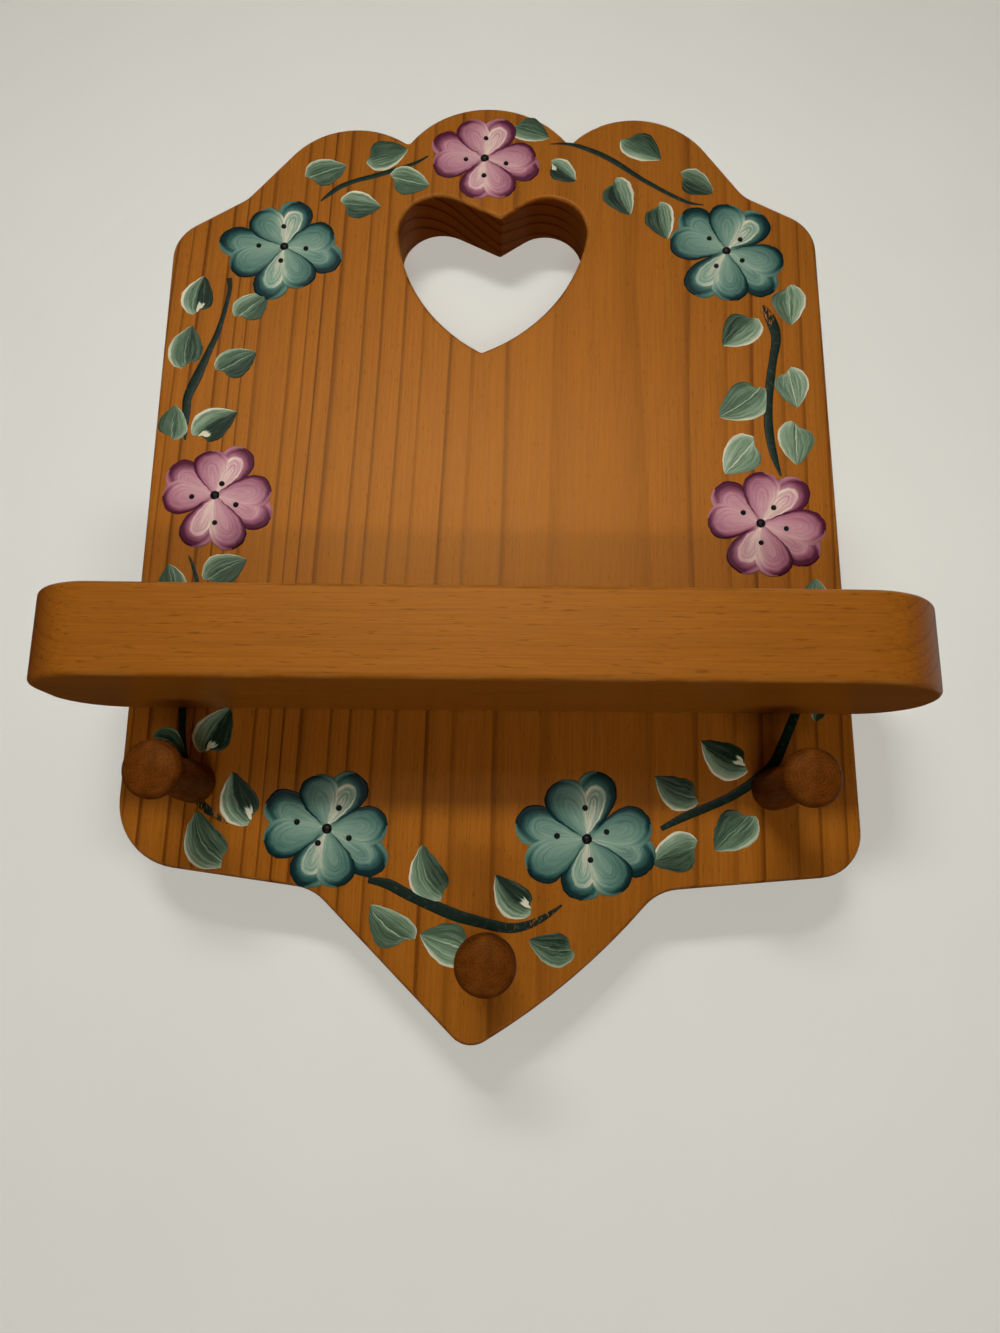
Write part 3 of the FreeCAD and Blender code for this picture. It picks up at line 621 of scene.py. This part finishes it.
def leaf_paint(name, leaf):
    """Craft acrylic in two pulls of a flat brush, one half of the leaf darker than the other.

    The eye sees streaks from the round base to the point, a line where the two pulls meet, and cream where
    the white side of the brush was set down.
    """
    material, node, surface = new_material(name, **ACRYLIC)
    place = node("SeparateXYZ", node("Attribute", attribute_name="stroke").outputs["Vector"])
    across, along = place.outputs["X"], place.outputs["Z"]
    dark_side, contrast, lift, seed = [
        node("Attribute", attribute_name=label).outputs["Fac"]
        for label in ("dark_side", "contrast", "lift", "stroke_seed")
    ]
    # Streaks change quickly across a leaf and slowly along it, and each leaf has its own.
    spot = node("CombineXYZ", *[
        node("Math", source, times, operation="MULTIPLY")
        for source, times in ((across, 7), (along, 1.2), (seed, STROKES_APART))
    ])
    streaks = node("TexNoise", spot, Scale=1, Detail=3, Roughness=0.6)

    darkwards = node("Math", across, dark_side, operation="MULTIPLY")
    halves = node("Math", darkwards, 0.5, 0.5, operation="MULTIPLY_ADD")
    even, split = [node("ValToRGB", halves, stops=profile) for profile in (EVEN_LEAF, SPLIT_LEAF)]
    tone = node("Mix", Factor=contrast, A=even, B=split)
    tone = node("Math", streaks, 0.8, tone, operation="MULTIPLY_ADD")
    set_down = node("MapRange", along, From_Min=0.84, From_Max=0.99, To_Min=-0.345, To_Max=-0.205)
    for paler in (set_down, lift):
        tone = node("Math", tone, paler, operation="ADD")

    # Leaves with bold halves have a touch of cream at the heel, beside the line.
    bold = node("MapRange", contrast, From_Min=0.8, From_Max=0.9)
    heel = node("Math", streaks, 0.3, along, operation="MULTIPLY_ADD")
    heel = node("MapRange", heel, From_Min=0.89, From_Max=0.99, To_Max=0.8, interpolation_type="SMOOTHSTEP")
    beside_line = node("Math", darkwards, 0.3, 0.26, operation="COMPARE")
    touch = node("Math", heel, beside_line, operation="MULTIPLY")
    tone = node("Math", touch, bold, tone, operation="MULTIPLY_ADD")
    colour = node("ValToRGB", tone, stops=[
        (0, rgba(leaf.deep)), (0.15, rgba(leaf.deep)), (0.46, rgba(leaf.green)), (0.7, rgba(leaf.pale)),
        (1, rgba(leaf.cream)),
    ])
    finish(node, surface, colour, streaks, gloss=(0.15, 0.36), relief=(0.5, 0.06))
    return material


def vine_paint(name, leaf, wood):
    """Thinned dark green acrylic from a liner brush: streaky, with bare wood where hairs ran dry."""
    material, node, surface = new_material(name, **ACRYLIC)
    paint = node("Mapping", node("TexCoord").outputs["Object"], Scale=PER_MM)
    # Each pattern has its detail and its size in millimetres; hairs are coarser than real ones, to show.
    streaks, hairs = [
        node("TexNoise", node("VectorMath", paint, size, operation="DIVIDE"), Scale=1, Detail=detail)
        for detail, size in ((4, (1.2, 1.2, 1.2)), (2, (0.4, 0.4, 1.6)))
    ]
    thin = node("MapRange", streaks, From_Min=0.55, From_Max=0.8, To_Max=0.35)
    colour = node("Mix", Factor=thin, A=rgba(leaf.vine), B=rgba(leaf.green), data_type="RGBA")
    dry = node("Attribute", attribute_name="dry").outputs["Fac"]
    bare = node("Math", dry, 0.45, hairs, operation="MULTIPLY_ADD")
    bare = node("MapRange", bare, From_Min=0.75, From_Max=0.83)
    colour = node("Mix", Factor=bare, A=colour, B=rgba(wood), data_type="RGBA")
    finish(node, surface, colour, streaks, gloss=(0.2, 0.28), relief=(0.3, 0.05))
    return material


def dot_paint(name, flowers):
    """Thick black acrylic set down with the end of a brush: near black, glossy, with a soft skin."""
    material, node, surface = new_material(name, IOR=1.48, Specular_IOR_Level=0.15)
    paint = node("Mapping", node("TexCoord").outputs["Object"], Scale=PER_MM)
    # The ripples of the skin have their size in millimetres.
    spot = node("VectorMath", paint, (0.8, 0.8, 0.8), operation="DIVIDE")
    skin = node("TexNoise", spot, Scale=1, Detail=2)
    lighter = node("Math", skin, 1.6, 0.4, operation="MULTIPLY_ADD")
    surface(
        Base_Color=node("VectorMath", tuple(flowers.dot), Scale=lighter, operation="SCALE"),
        Roughness=node("Math", skin, 0.2, 0.3, operation="MULTIPLY_ADD"),
    )
    return material


def wall_paint(name, colour):
    """Matt wall paint: pale, faintly cloudy, with a glow of its own, and open to a camera behind it."""
    material, node, surface = new_material(
        name, Roughness=0.9, Specular_IOR_Level=0.1, Emission_Strength=0.5,
    )
    wall = node("Mapping", node("TexCoord").outputs["Object"], Scale=PER_MM)
    # The clouds have their size in millimetres.
    spot = node("VectorMath", wall, (60, 60, 60), operation="DIVIDE")
    cloud = node("TexNoise", spot, Scale=1, Detail=3)
    shade = node("Math", cloud, 0.06, 0.97, operation="MULTIPLY_ADD")
    tone = node("VectorMath", tuple(colour), Scale=shade, operation="SCALE")
    surface(Emission_Color=tone, Base_Color=node("VectorMath", tone, Scale=0.65, operation="SCALE"))
    tree = material.node_tree
    behind = node("NewGeometry").outputs["Backfacing"]
    see = node("MixShader", behind, tree.nodes["Principled BSDF"], node("BsdfTransparent"))
    feed(tree, tree.nodes["Material Output"], Surface=see)
    return material


def new_tree(name, **sockets):
    """A geometry tree with named inputs and one output; with what adds its nodes, and its inputs."""
    tree = bpy.data.node_groups.new(name, "GeometryNodeTree")
    for label, kind in sockets.items():
        label = label.replace("_", " ")
        tree.interface.new_socket(name=label, in_out="INPUT", socket_type=f"NodeSocket{kind}")
    tree.interface.new_socket(name="Strokes", in_out="OUTPUT", socket_type="NodeSocketGeometry")
    return tree, partial(add_node, tree), tree.nodes.new("NodeGroupInput").outputs


def lay_on_board(node, given, strokes):
    """Stand flat strokes up against the board's front, give them their paint, and end the tree."""
    upright = node(
        "GeometryNodeTransform", Geometry=strokes, Translation=node("CombineXYZ", 0, given["Face"]),
        Rotation=(math.radians(90), 0, 0),
    )
    node("NodeGroupOutput", node("GeometryNodeSetMaterial", Geometry=upright, Material=given["Paint"]))


def stroke_tree():
    """Drop-shaped brush strokes: each starts as a point, swells to a round end, and is domed and closed."""
    tree, node, given = new_tree(
        "Brush strokes", Points="Geometry", Rim_steps="Int", Rings="Int", Sharpness="Float", Step="Float",
        Edge="Float", Crown="Float", Sunk="Float", Face="Float", Paint="Material",
    )
    # A grid is bent round: its first row lies under the rim, its last is a short line along the middle.
    rim, rings, sharpness = given["Rim steps"], given["Rings"], given["Sharpness"]
    grid = node("GeometryNodeMeshGrid", Size_X=1, Size_Y=1, Vertices_X=rim, Vertices_Y=rings)
    round_rim, inwards, _ = node("SeparateXYZ", grid.outputs["UV Map"]).outputs
    turn = node("Math", round_rim, FULL_TURN, operation="MULTIPLY")
    along = node("Math", node("Math", turn, operation="COSINE"), -0.5, 0.5, operation="MULTIPLY_ADD")
    half_sine = node("Math", node("Math", turn, 0.5, operation="MULTIPLY"), operation="SINE")
    taper = node("Math", half_sine, sharpness, operation="POWER")
    across = node("Math", node("Math", turn, operation="SINE"), taper, operation="MULTIPLY")
    first_ring = node("Math", 1, node("Math", rings, 1, operation="SUBTRACT"), operation="DIVIDE")
    inset = node("MapRange", inwards, From_Min=first_ring, From_Max=1)
    core = node("Math", along, 0.42, 0.14, operation="MULTIPLY_ADD")
    x = node("Mix", Factor=inset, A=along, B=core)
    free = node("Math", 1, inset, operation="SUBTRACT")
    y = node("Math", node("Math", across, free, operation="MULTIPLY"), -1, operation="MULTIPLY")
    dome = node("Math", 1, node("Math", free, 2, operation="POWER"), operation="SUBTRACT")
    top = node("Mix", Factor=dome, A=given["Edge"], B=given["Crown"])
    half_ring = node("Math", first_ring, 0.5, operation="MULTIPLY")
    raised = node("Math", inwards, half_ring, operation="GREATER_THAN")
    under = node("Math", given["Sunk"], -1, operation="MULTIPLY")
    z = node("Mix", Factor=raised, A=under, B=top)

    # The paint is told how far sideways a spot lies in the stroke's width there, how far in and how far
    # along. At the two ends the width is kept off zero.
    power = node("Math", sharpness, 0.5, 0.5, operation="MULTIPLY_ADD")
    swell = node("Math", node("Math", x, 0.001, operation="MAXIMUM"), power, operation="POWER")
    to_end = node("Math", node("Math", 1, x, operation="SUBTRACT"), 0.001, operation="MAXIMUM")
    half_width = node("Math", swell, node("Math", to_end, operation="SQRT"), operation="MULTIPLY")
    sideways = node("Math", y, node("Math", half_width, -2, operation="MULTIPLY"), operation="DIVIDE")
    marked = node(
        "GeometryNodeStoreNamedAttribute", Geometry=grid, Name="stroke",
        Value=node("CombineXYZ", sideways, inset, x), data_type="FLOAT_VECTOR", domain="CORNER",
    )
    upper, lower = [
        node("GeometryNodeSetPosition", Geometry=marked, Position=node("CombineXYZ", x, y, height))
        for height in (z, under)
    ]
    lower = node("GeometryNodeFlipFaces", Mesh=lower)
    drop = node("GeometryNodeJoinGeometry", Geometry=[upper, lower])
    drop = node("GeometryNodeMergeByDistance", Geometry=drop, Distance=1e-6)
    drop = node("GeometryNodeSetShadeSmooth", Geometry=drop)

    turns, reach, breadth, coats, dark_side, curl = [
        node("GeometryNodeInputNamedAttribute", Name=label, data_type="FLOAT")
        for label in ("turn", "reach", "breadth", "coats", "dark_side", "curl")
    ]
    strokes = node(
        "GeometryNodeInstanceOnPoints", Points=given["Points"], Instance=drop,
        Rotation=node("CombineXYZ", 0, 0, turns), Scale=node("CombineXYZ", reach, breadth, coats),
    )
    strokes = node(
        "GeometryNodeStoreNamedAttribute", Geometry=strokes, Name="stroke_seed",
        Value=node("FunctionNodeRandomValue", Min=0.0, Max=1.0, Seed=STREAK_SEED), domain="INSTANCE",
    )
    flat = node("GeometryNodeRealizeInstances", Geometry=strokes)

    # A leaf's dark half ends short of the other, its belly is bent aside, most of all half way along, where
    # the product of the two shares is a quarter, and a hand shook every edge.
    stroke = node("GeometryNodeInputNamedAttribute", Name="stroke", data_type="FLOAT_VECTOR")
    sideways, _, lengthways = node("SeparateXYZ", stroke).outputs
    dark_half = node("Math", sideways, dark_side, operation="MULTIPLY")
    short_half = node("MapRange", dark_half, From_Min=-0.1, From_Max=0.1, To_Max=given["Step"])
    swelling = node("MapRange", lengthways, From_Min=0.4, To_Max=-1)
    shorter = node("Math", short_half, swelling, operation="MULTIPLY")
    to_heel = node("Math", 1, lengthways, operation="SUBTRACT")
    belly = node("Math", lengthways, to_heel, operation="MULTIPLY")
    bent = node("Math", belly, node("Math", curl, -4, operation="MULTIPLY"), operation="MULTIPLY")
    moved = node("VectorMath", node("CombineXYZ", shorter, bent), Scale=reach, operation="SCALE")
    moved = node("VectorRotate", Vector=moved, Angle=turns, rotation_type="Z_AXIS")
    spot = node("VectorMath", node("GeometryNodeInputPosition"), (1 / MM, 1 / MM, 0), operation="MULTIPLY")
    shake = node("TexNoise", spot, Scale=0.6, Detail=2).outputs["Color"]
    swing = SHAKE_MM * MM
    shake = node(
        "VectorMath", shake, (swing, swing, 0), (-swing / 2, -swing / 2, 0), operation="MULTIPLY_ADD",
    )
    offset = node("VectorMath", moved, shake, operation="ADD")
    lay_on_board(node, given, node("GeometryNodeSetPosition", Geometry=flat, Offset=offset))
    return tree


def vine_tree():
    """Tapered liner strokes along the edges of a mesh, flat and closed."""
    tree, node, given = new_tree(
        "Vine strokes", Lines="Geometry", Steps="Int", Flatness="Float", Face="Float", Paint="Material",
    )
    path = node("GeometryNodeMeshToCurve", Mesh=given["Lines"])
    path = node("GeometryNodeCurveSplineType", Curve=path, spline_type="CATMULL_ROM")
    path = node("GeometryNodeResampleCurve", Curve=path, Count=given["Steps"])
    path = node("GeometryNodeSetCurveNormal", Curve=path, mode="Z_UP")
    section = node("GeometryNodeCurvePrimitiveCircle", Resolution=VINE_SIDES, Radius=1)
    flat = node("CombineXYZ", 1, given["Flatness"], 1)
    section = node("GeometryNodeTransform", Geometry=section, Scale=flat)
    thickness = node("GeometryNodeInputNamedAttribute", Name="thickness", data_type="FLOAT")
    strokes = node(
        "GeometryNodeCurveToMesh", Curve=path, Profile_Curve=section, Scale=thickness, Fill_Caps=True,
    )
    lay_on_board(node, given, node("GeometryNodeRealizeInstances", Geometry=strokes))
    return tree


def dot_tree():
    """Round domed dots, one at each point."""
    tree, node, given = new_tree(
        "Paint dots", Points="Geometry", Height="Float", Face="Float", Paint="Material",
    )
    ball = node("GeometryNodeMeshUVSphere", Segments=DOT_SEGMENTS, Rings=DOT_RINGS, Radius=1)
    ball = node("GeometryNodeSetShadeSmooth", Geometry=ball)
    radius = node("GeometryNodeInputNamedAttribute", Name="radius_out", data_type="FLOAT")
    dots = node(
        "GeometryNodeInstanceOnPoints", Points=given["Points"], Instance=ball,
        Scale=node("CombineXYZ", radius, radius, given["Height"]),
    )
    lay_on_board(node, given, node("GeometryNodeRealizeInstances", Geometry=dots))
    return tree


def points_mesh(name, rows, edges=()):
    """A mesh of points, each with a place and named numbers of its own."""
    mesh = bpy.data.meshes.new(name)
    mesh.from_pydata([row["place"] for row in rows], edges, [])
    for label in rows[0]:
        if label != "place":
            numbers = mesh.attributes.new(label, "FLOAT", "POINT")
            numbers.data.foreach_set("value", [row[label] for row in rows])
    return mesh


def painted_piece(name, tree, mesh, values):
    """Run a geometry tree on a mesh, keep the result as a plain mesh, and let it ride on the board."""
    piece = bpy.data.objects.new(name, mesh)
    bpy.context.scene.collection.objects.link(piece)
    modifier = piece.modifiers.new(tree.name, "NODES")
    modifier.node_group = tree
    for item in tree.interface.items_tree:
        if item.in_out == "INPUT" and item.name in values:
            modifier[item.identifier] = values[item.name]
    depsgraph = bpy.context.evaluated_depsgraph_get()
    plain = bpy.data.meshes.new_from_object(
        piece.evaluated_get(depsgraph), preserve_all_data_layers=True, depsgraph=depsgraph
    )
    piece.modifiers.remove(modifier)
    piece.data = plain
    bpy.data.meshes.remove(mesh)
    if not plain.polygons:
        raise RuntimeError(f"{name} came out empty")
    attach(piece, "root")


def dress(node_name, material):
    """Give a node of the frame its finish."""
    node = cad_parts[node_name]
    if not node.material_slots:
        node.data.materials.append(material)
    for slot in node.material_slots:
        slot.material = material


class FinishBoard(bpy.types.Operator):
    """Give the back board its stained pine"""
    bl_idname = "wall_shelf.finish_board"
    bl_label = "Finish board"

    def execute(self, context):
        pine = context.scene.wall_shelf_pine
        dress("back_board", stained_pine(
            "Stained pine board", pine, pine.board_ring, turn=(0, math.radians(BOARD_LEAN), 0),
            from_pith=BOARD_FROM_PITH_MM, face_axis=(0, 1, 0), line_strength=1.15, pore=BOARD_PORE_MM,
        ))
        return {"FINISHED"}


class FinishShelf(bpy.types.Operator):
    """Give the shelf its stained pine, with the grain along its length"""
    bl_idname = "wall_shelf.finish_shelf"
    bl_label = "Finish shelf"

    def execute(self, context):
        pine = context.scene.wall_shelf_pine
        dress("shelf", stained_pine(
            "Stained pine shelf", pine, pine.shelf_ring, turn=(0, math.radians(-90), 0),
            from_pith=SHELF_FROM_PITH_MM, face_axis=(0, 0, 1), line_strength=0.2, pore=SHELF_PORE_MM,
        ))
        return {"FINISHED"}


class FinishPegs(bpy.types.Operator):
    """Give the three pegs their turned birch"""
    bl_idname = "wall_shelf.finish_pegs"
    bl_label = "Finish pegs"

    def execute(self, context):
        settings = context.scene.wall_shelf_peg
        for name, strength in PEG_MARKS.items():
            low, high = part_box(name)
            dress(name, turned_birch(f"Turned birch {name}", settings, (low + high) / 2, strength))
        return {"FINISHED"}


class FinishHardware(bpy.types.Operator):
    """Give the screws, hanger and nails their plated steel"""
    bl_idname = "wall_shelf.finish_hardware"
    bl_label = "Finish hardware"

    def execute(self, context):
        steel = plated_steel("Zinc plated steel", context.scene.wall_shelf_steel)
        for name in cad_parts:
            if "screw" in name or "hanger" in name:
                dress(name, steel)
        return {"FINISHED"}


class PaintFlowers(bpy.types.Operator):
    """Paint the seven flowers, each of four petals with two lobes"""
    bl_idname = "wall_shelf.paint_flowers"
    bl_label = "Paint flowers"

    def execute(self, context):
        settings = context.scene.wall_shelf_flower
        paints = {}
        for paint in ("mauve", "teal"):
            tones = [getattr(settings, paint + tone) for tone in ("_rim", "_deep", "", "_pale")]
            paints[paint] = petal_paint(f"{paint.title()} acrylic", *tones, settings.cream)
        tree = stroke_tree()
        for name, flower in FLOWERS.items():
            centre = on_board(flower["centre"])
            lines = [[on_board(pixel) - centre for pixel in lobes] for lobes in flower["petals"]]
            mean_reach = sum(line.length for pair in lines for line in pair) / (2 * len(lines))
            rows = []
            for number, (pair, (edge_cream, nested_cream)) in enumerate(zip(lines, PETAL_CREAM)):
                for on_top, line in zip((1, 0), pair):
                    rows.append({
                        "place": centre,
                        "turn": math.atan2(line.y, line.x),
                        "reach": line.length,
                        "breadth": mean_reach * PETAL_BREADTH,
                        "coats": UNDER_COATS + TOP_COATS * on_top + NEXT_COATS * number,
                        "inner_side": 1 if on_top else -1,
                        "edge_cream": edge_cream * on_top,
                        "nested_cream": nested_cream * (1 - on_top),
                    })
            painted_piece(name, tree, points_mesh(name, rows), {
                "Rim steps": PETAL_RIM, "Rings": STROKE_RINGS, "Sharpness": PETAL_SHARPNESS,
                "Step": PETAL_STEP, "Edge": settings.edge, "Crown": settings.crown, "Sunk": SUNK_MM * MM,
                "Face": FRONT, "Paint": paints[flower["paint"]],
            })
        return {"FINISHED"}


class PaintDots(bpy.types.Operator):
    """Set the black dots on the flowers"""
    bl_idname = "wall_shelf.paint_dots"
    bl_label = "Paint dots"

    def execute(self, context):
        settings = context.scene.wall_shelf_flower
        rows = []
        for flower in FLOWERS.values():
            rows.append({"place": on_board(flower["centre"]), "radius_out": settings.centre_dot / 2})
            for pixel in flower["dots"]:
                rows.append({"place": on_board(pixel), "radius_out": settings.small_dot / 2})
        painted_piece("flower_dots", dot_tree(), points_mesh("flower_dots", rows), {
            "Height": DOT_HEIGHT_MM * MM, "Face": FRONT, "Paint": dot_paint("Black acrylic", settings),
        })
        return {"FINISHED"}


class PaintLeaves(bpy.types.Operator):
    """Paint the leaves"""
    bl_idname = "wall_shelf.paint_leaves"
    bl_label = "Paint leaves"

    def execute(self, context):
        flowers = context.scene.wall_shelf_flower
        rows = []
        for middle, tip, shade, lift, curl in LEAVES:
            start = on_board(tip)
            line = (on_board(middle) - start) * LEAF_REACH
            rows.append({
                "place": start,
                "turn": math.atan2(line.y, line.x),
                "reach": line.length,
                "breadth": line.length * (LEAF_BREADTH - CURL_SLIMMING * abs(curl)),
                "coats": 1,
                "dark_side": math.copysign(1, shade),
                "contrast": abs(shade),
                "lift": lift,
                "curl": curl,
            })
        painted_piece("leaves", stroke_tree(), points_mesh("leaves", rows), {
            "Rim steps": LEAF_RIM, "Rings": STROKE_RINGS, "Sharpness": LEAF_SHARPNESS, "Step": LEAF_STEP,
            "Edge": flowers.edge, "Crown": flowers.crown, "Sunk": SUNK_MM * MM, "Face": FRONT,
            "Paint": leaf_paint("Green acrylic", context.scene.wall_shelf_leaf),
        })
        return {"FINISHED"}


class PaintVines(bpy.types.Operator):
    """Paint the vines"""
    bl_idname = "wall_shelf.paint_vines"
    bl_label = "Paint vines"

    def execute(self, context):
        scene = context.scene
        rows, edges = [], []
        for vine in VINES:
            for number, (across, down, width, *dry) in enumerate(vine):
                if number:
                    edges.append((len(rows) - 1, len(rows)))
                place = on_board((across, down))
                rows.append({"place": place, "thickness": width * MM / 2, "dry": sum(dry)})
        painted_piece("vines", vine_tree(), points_mesh("vines", rows, edges), {
            "Steps": VINE_STEPS, "Flatness": VINE_FLATNESS, "Face": FRONT,
            "Paint": vine_paint("Vine acrylic", scene.wall_shelf_leaf, scene.wall_shelf_pine.early),
        })
        return {"FINISHED"}


class SetStage(bpy.types.Operator):
    """Set up the wall, the light and the camera"""
    bl_idname = "wall_shelf.set_stage"
    bl_label = "Set stage"

    def execute(self, context):
        scene = context.scene
        settings = scene.wall_shelf_stage
        scene.view_settings.view_transform = "Standard"
        self.hang_wall(scene, settings)
        self.light_all_round(scene, settings)
        self.hang_lamps(scene, settings)
        self.stand_camera(scene)
        return {"FINISHED"}

    def hang_wall(self, scene, settings):
        """One pale sheet just behind the hanger, shown to the camera alone, so it throws no light back."""
        reach = WALL_REACH
        behind = CAD_BOX[1].y + WALL_GAP_MM * MM
        corners = ((-reach, -reach), (reach, -reach), (reach, reach), (-reach, reach))
        mesh = bpy.data.meshes.new("wall")
        mesh.from_pydata([(x, behind, z) for x, z in corners], [], [(0, 1, 2, 3)])
        wall = bpy.data.objects.new("wall", mesh)
        scene.collection.objects.link(wall)
        mesh.materials.append(wall_paint("Matt white wall", settings.wall))
        for rays in ("diffuse", "glossy", "transmission", "shadow"):
            setattr(wall, f"visible_{rays}", False)

    def light_all_round(self, scene, settings):
        """Even light all round, which the camera sees in the wall's colour.

        Mirrored, the room is dim but for one pale side.
        """
        world = bpy.data.worlds.new("Pale room")
        world.use_nodes = True
        scene.world = world
        tree = world.node_tree
        node = partial(add_node, tree)
        ray = node("LightPath").outputs
        mirrored = ray["Is Glossy Ray"]
        direction = node("TexCoord").outputs["Generated"]
        sideways = node("VectorMath", direction, PALE_SIDE, operation="DOT_PRODUCT")
        image = node("MapRange", sideways, From_Min=0.82, From_Max=0.95, To_Min=0.015, To_Max=0.6)
        strength = node("Mix", Factor=mirrored, A=settings.ambient, B=image)
        tint = node("Mix", Factor=mirrored, A=ROOM_TINT, B=MIRROR_TINT, data_type="RGBA")
        room = node("Background", Color=tint, Strength=strength)
        seen = node("Background", Color=rgba(settings.wall), Strength=1)
        looked_at = node("Math", ray["Is Camera Ray"], ray["Is Transmission Ray"], operation="MAXIMUM")
        feed(tree, tree.nodes["World Output"], Surface=node("MixShader", looked_at, room, seen))

    def hang_lamps(self, scene, settings):
        """Soft lamps that face the shelf or its board."""
        middles = {
            "shelf": sum(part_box("shelf"), Vector()) / 2,
            "back_board": sum(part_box("back_board"), Vector()) / 2,
        }
        for name, (power, faced, way, distance, width, height, spread, unseen_by) in LAMPS.items():
            lamp = bpy.data.lights.new(name, "AREA")
            lamp.shape = "RECTANGLE"
            lamp.size = width
            lamp.size_y = height
            lamp.energy = getattr(settings, power)
            lamp.spread = math.radians(spread)
            direction = Vector(way)
            holder = bpy.data.objects.new(name, lamp)
            holder.location = middles[faced] + direction.normalized() * distance
            holder.rotation_euler = direction.to_track_quat("Z", "Y").to_euler()
            for rays in unseen_by:
                setattr(holder, f"visible_{rays}", False)
            scene.collection.objects.link(holder)

    def stand_camera(self, scene):
        """The camera where the picture was taken from."""
        lens = bpy.data.cameras.new("Camera")
        lens.sensor_width = SENSOR_MM
        lens.lens = SENSOR_MM * FOCAL_PIXELS / PICTURE_HEIGHT
        lens.clip_start = MM
        camera = bpy.data.objects.new("Camera", lens)
        camera.matrix_world = Matrix.Translation(CAMERA_MM * MM) @ camera_turn().to_4x4()
        scene.collection.objects.link(camera)
        scene.camera = camera


OPERATORS = [
    FinishBoard, FinishShelf, FinishPegs, FinishHardware, PaintFlowers, PaintDots, PaintLeaves, PaintVines,
    SetStage,
]
GROUPS = {
    "wall_shelf_pine": PineSettings,
    "wall_shelf_peg": PegSettings,
    "wall_shelf_steel": SteelSettings,
    "wall_shelf_flower": FlowerSettings,
    "wall_shelf_leaf": LeafSettings,
    "wall_shelf_stage": StageSettings,
}


class WallShelfPanel(bpy.types.Panel):
    """Settings and steps of the wall shelf"""
    bl_idname = "VIEW3D_PT_wall_shelf"
    bl_label = "Wall Shelf"
    bl_space_type = "VIEW_3D"
    bl_region_type = "UI"
    bl_category = "Wall Shelf"

    def draw(self, context):
        for label, group in GROUPS.items():
            box = self.layout.box()
            box.label(text=group.__doc__)
            for setting in group.__annotations__:
                box.prop(getattr(context.scene, label), setting)
        for operator in OPERATORS:
            self.layout.operator(operator.bl_idname)


def register():
    """Make the settings, operators and panel known."""
    for group in GROUPS.values():
        bpy.utils.register_class(group)
    for label, group in GROUPS.items():
        setattr(bpy.types.Scene, label, PointerProperty(type=group))
    for item in (*OPERATORS, WallShelfPanel):
        bpy.utils.register_class(item)


def unregister():
    """Take the panel, operators and settings out again."""
    for item in (WallShelfPanel, *reversed(OPERATORS)):
        bpy.utils.unregister_class(item)
    for label, group in GROUPS.items():
        delattr(bpy.types.Scene, label)
        bpy.utils.unregister_class(group)


def main():
    """Register the classes and make everything in order."""
    register()
    bpy.ops.wall_shelf.finish_board()
    bpy.ops.wall_shelf.finish_shelf()
    bpy.ops.wall_shelf.finish_pegs()
    bpy.ops.wall_shelf.finish_hardware()
    bpy.ops.wall_shelf.paint_flowers()
    bpy.ops.wall_shelf.paint_dots()
    bpy.ops.wall_shelf.paint_leaves()
    bpy.ops.wall_shelf.paint_vines()
    bpy.ops.wall_shelf.set_stage()


if __name__ == "__main__":
    main()
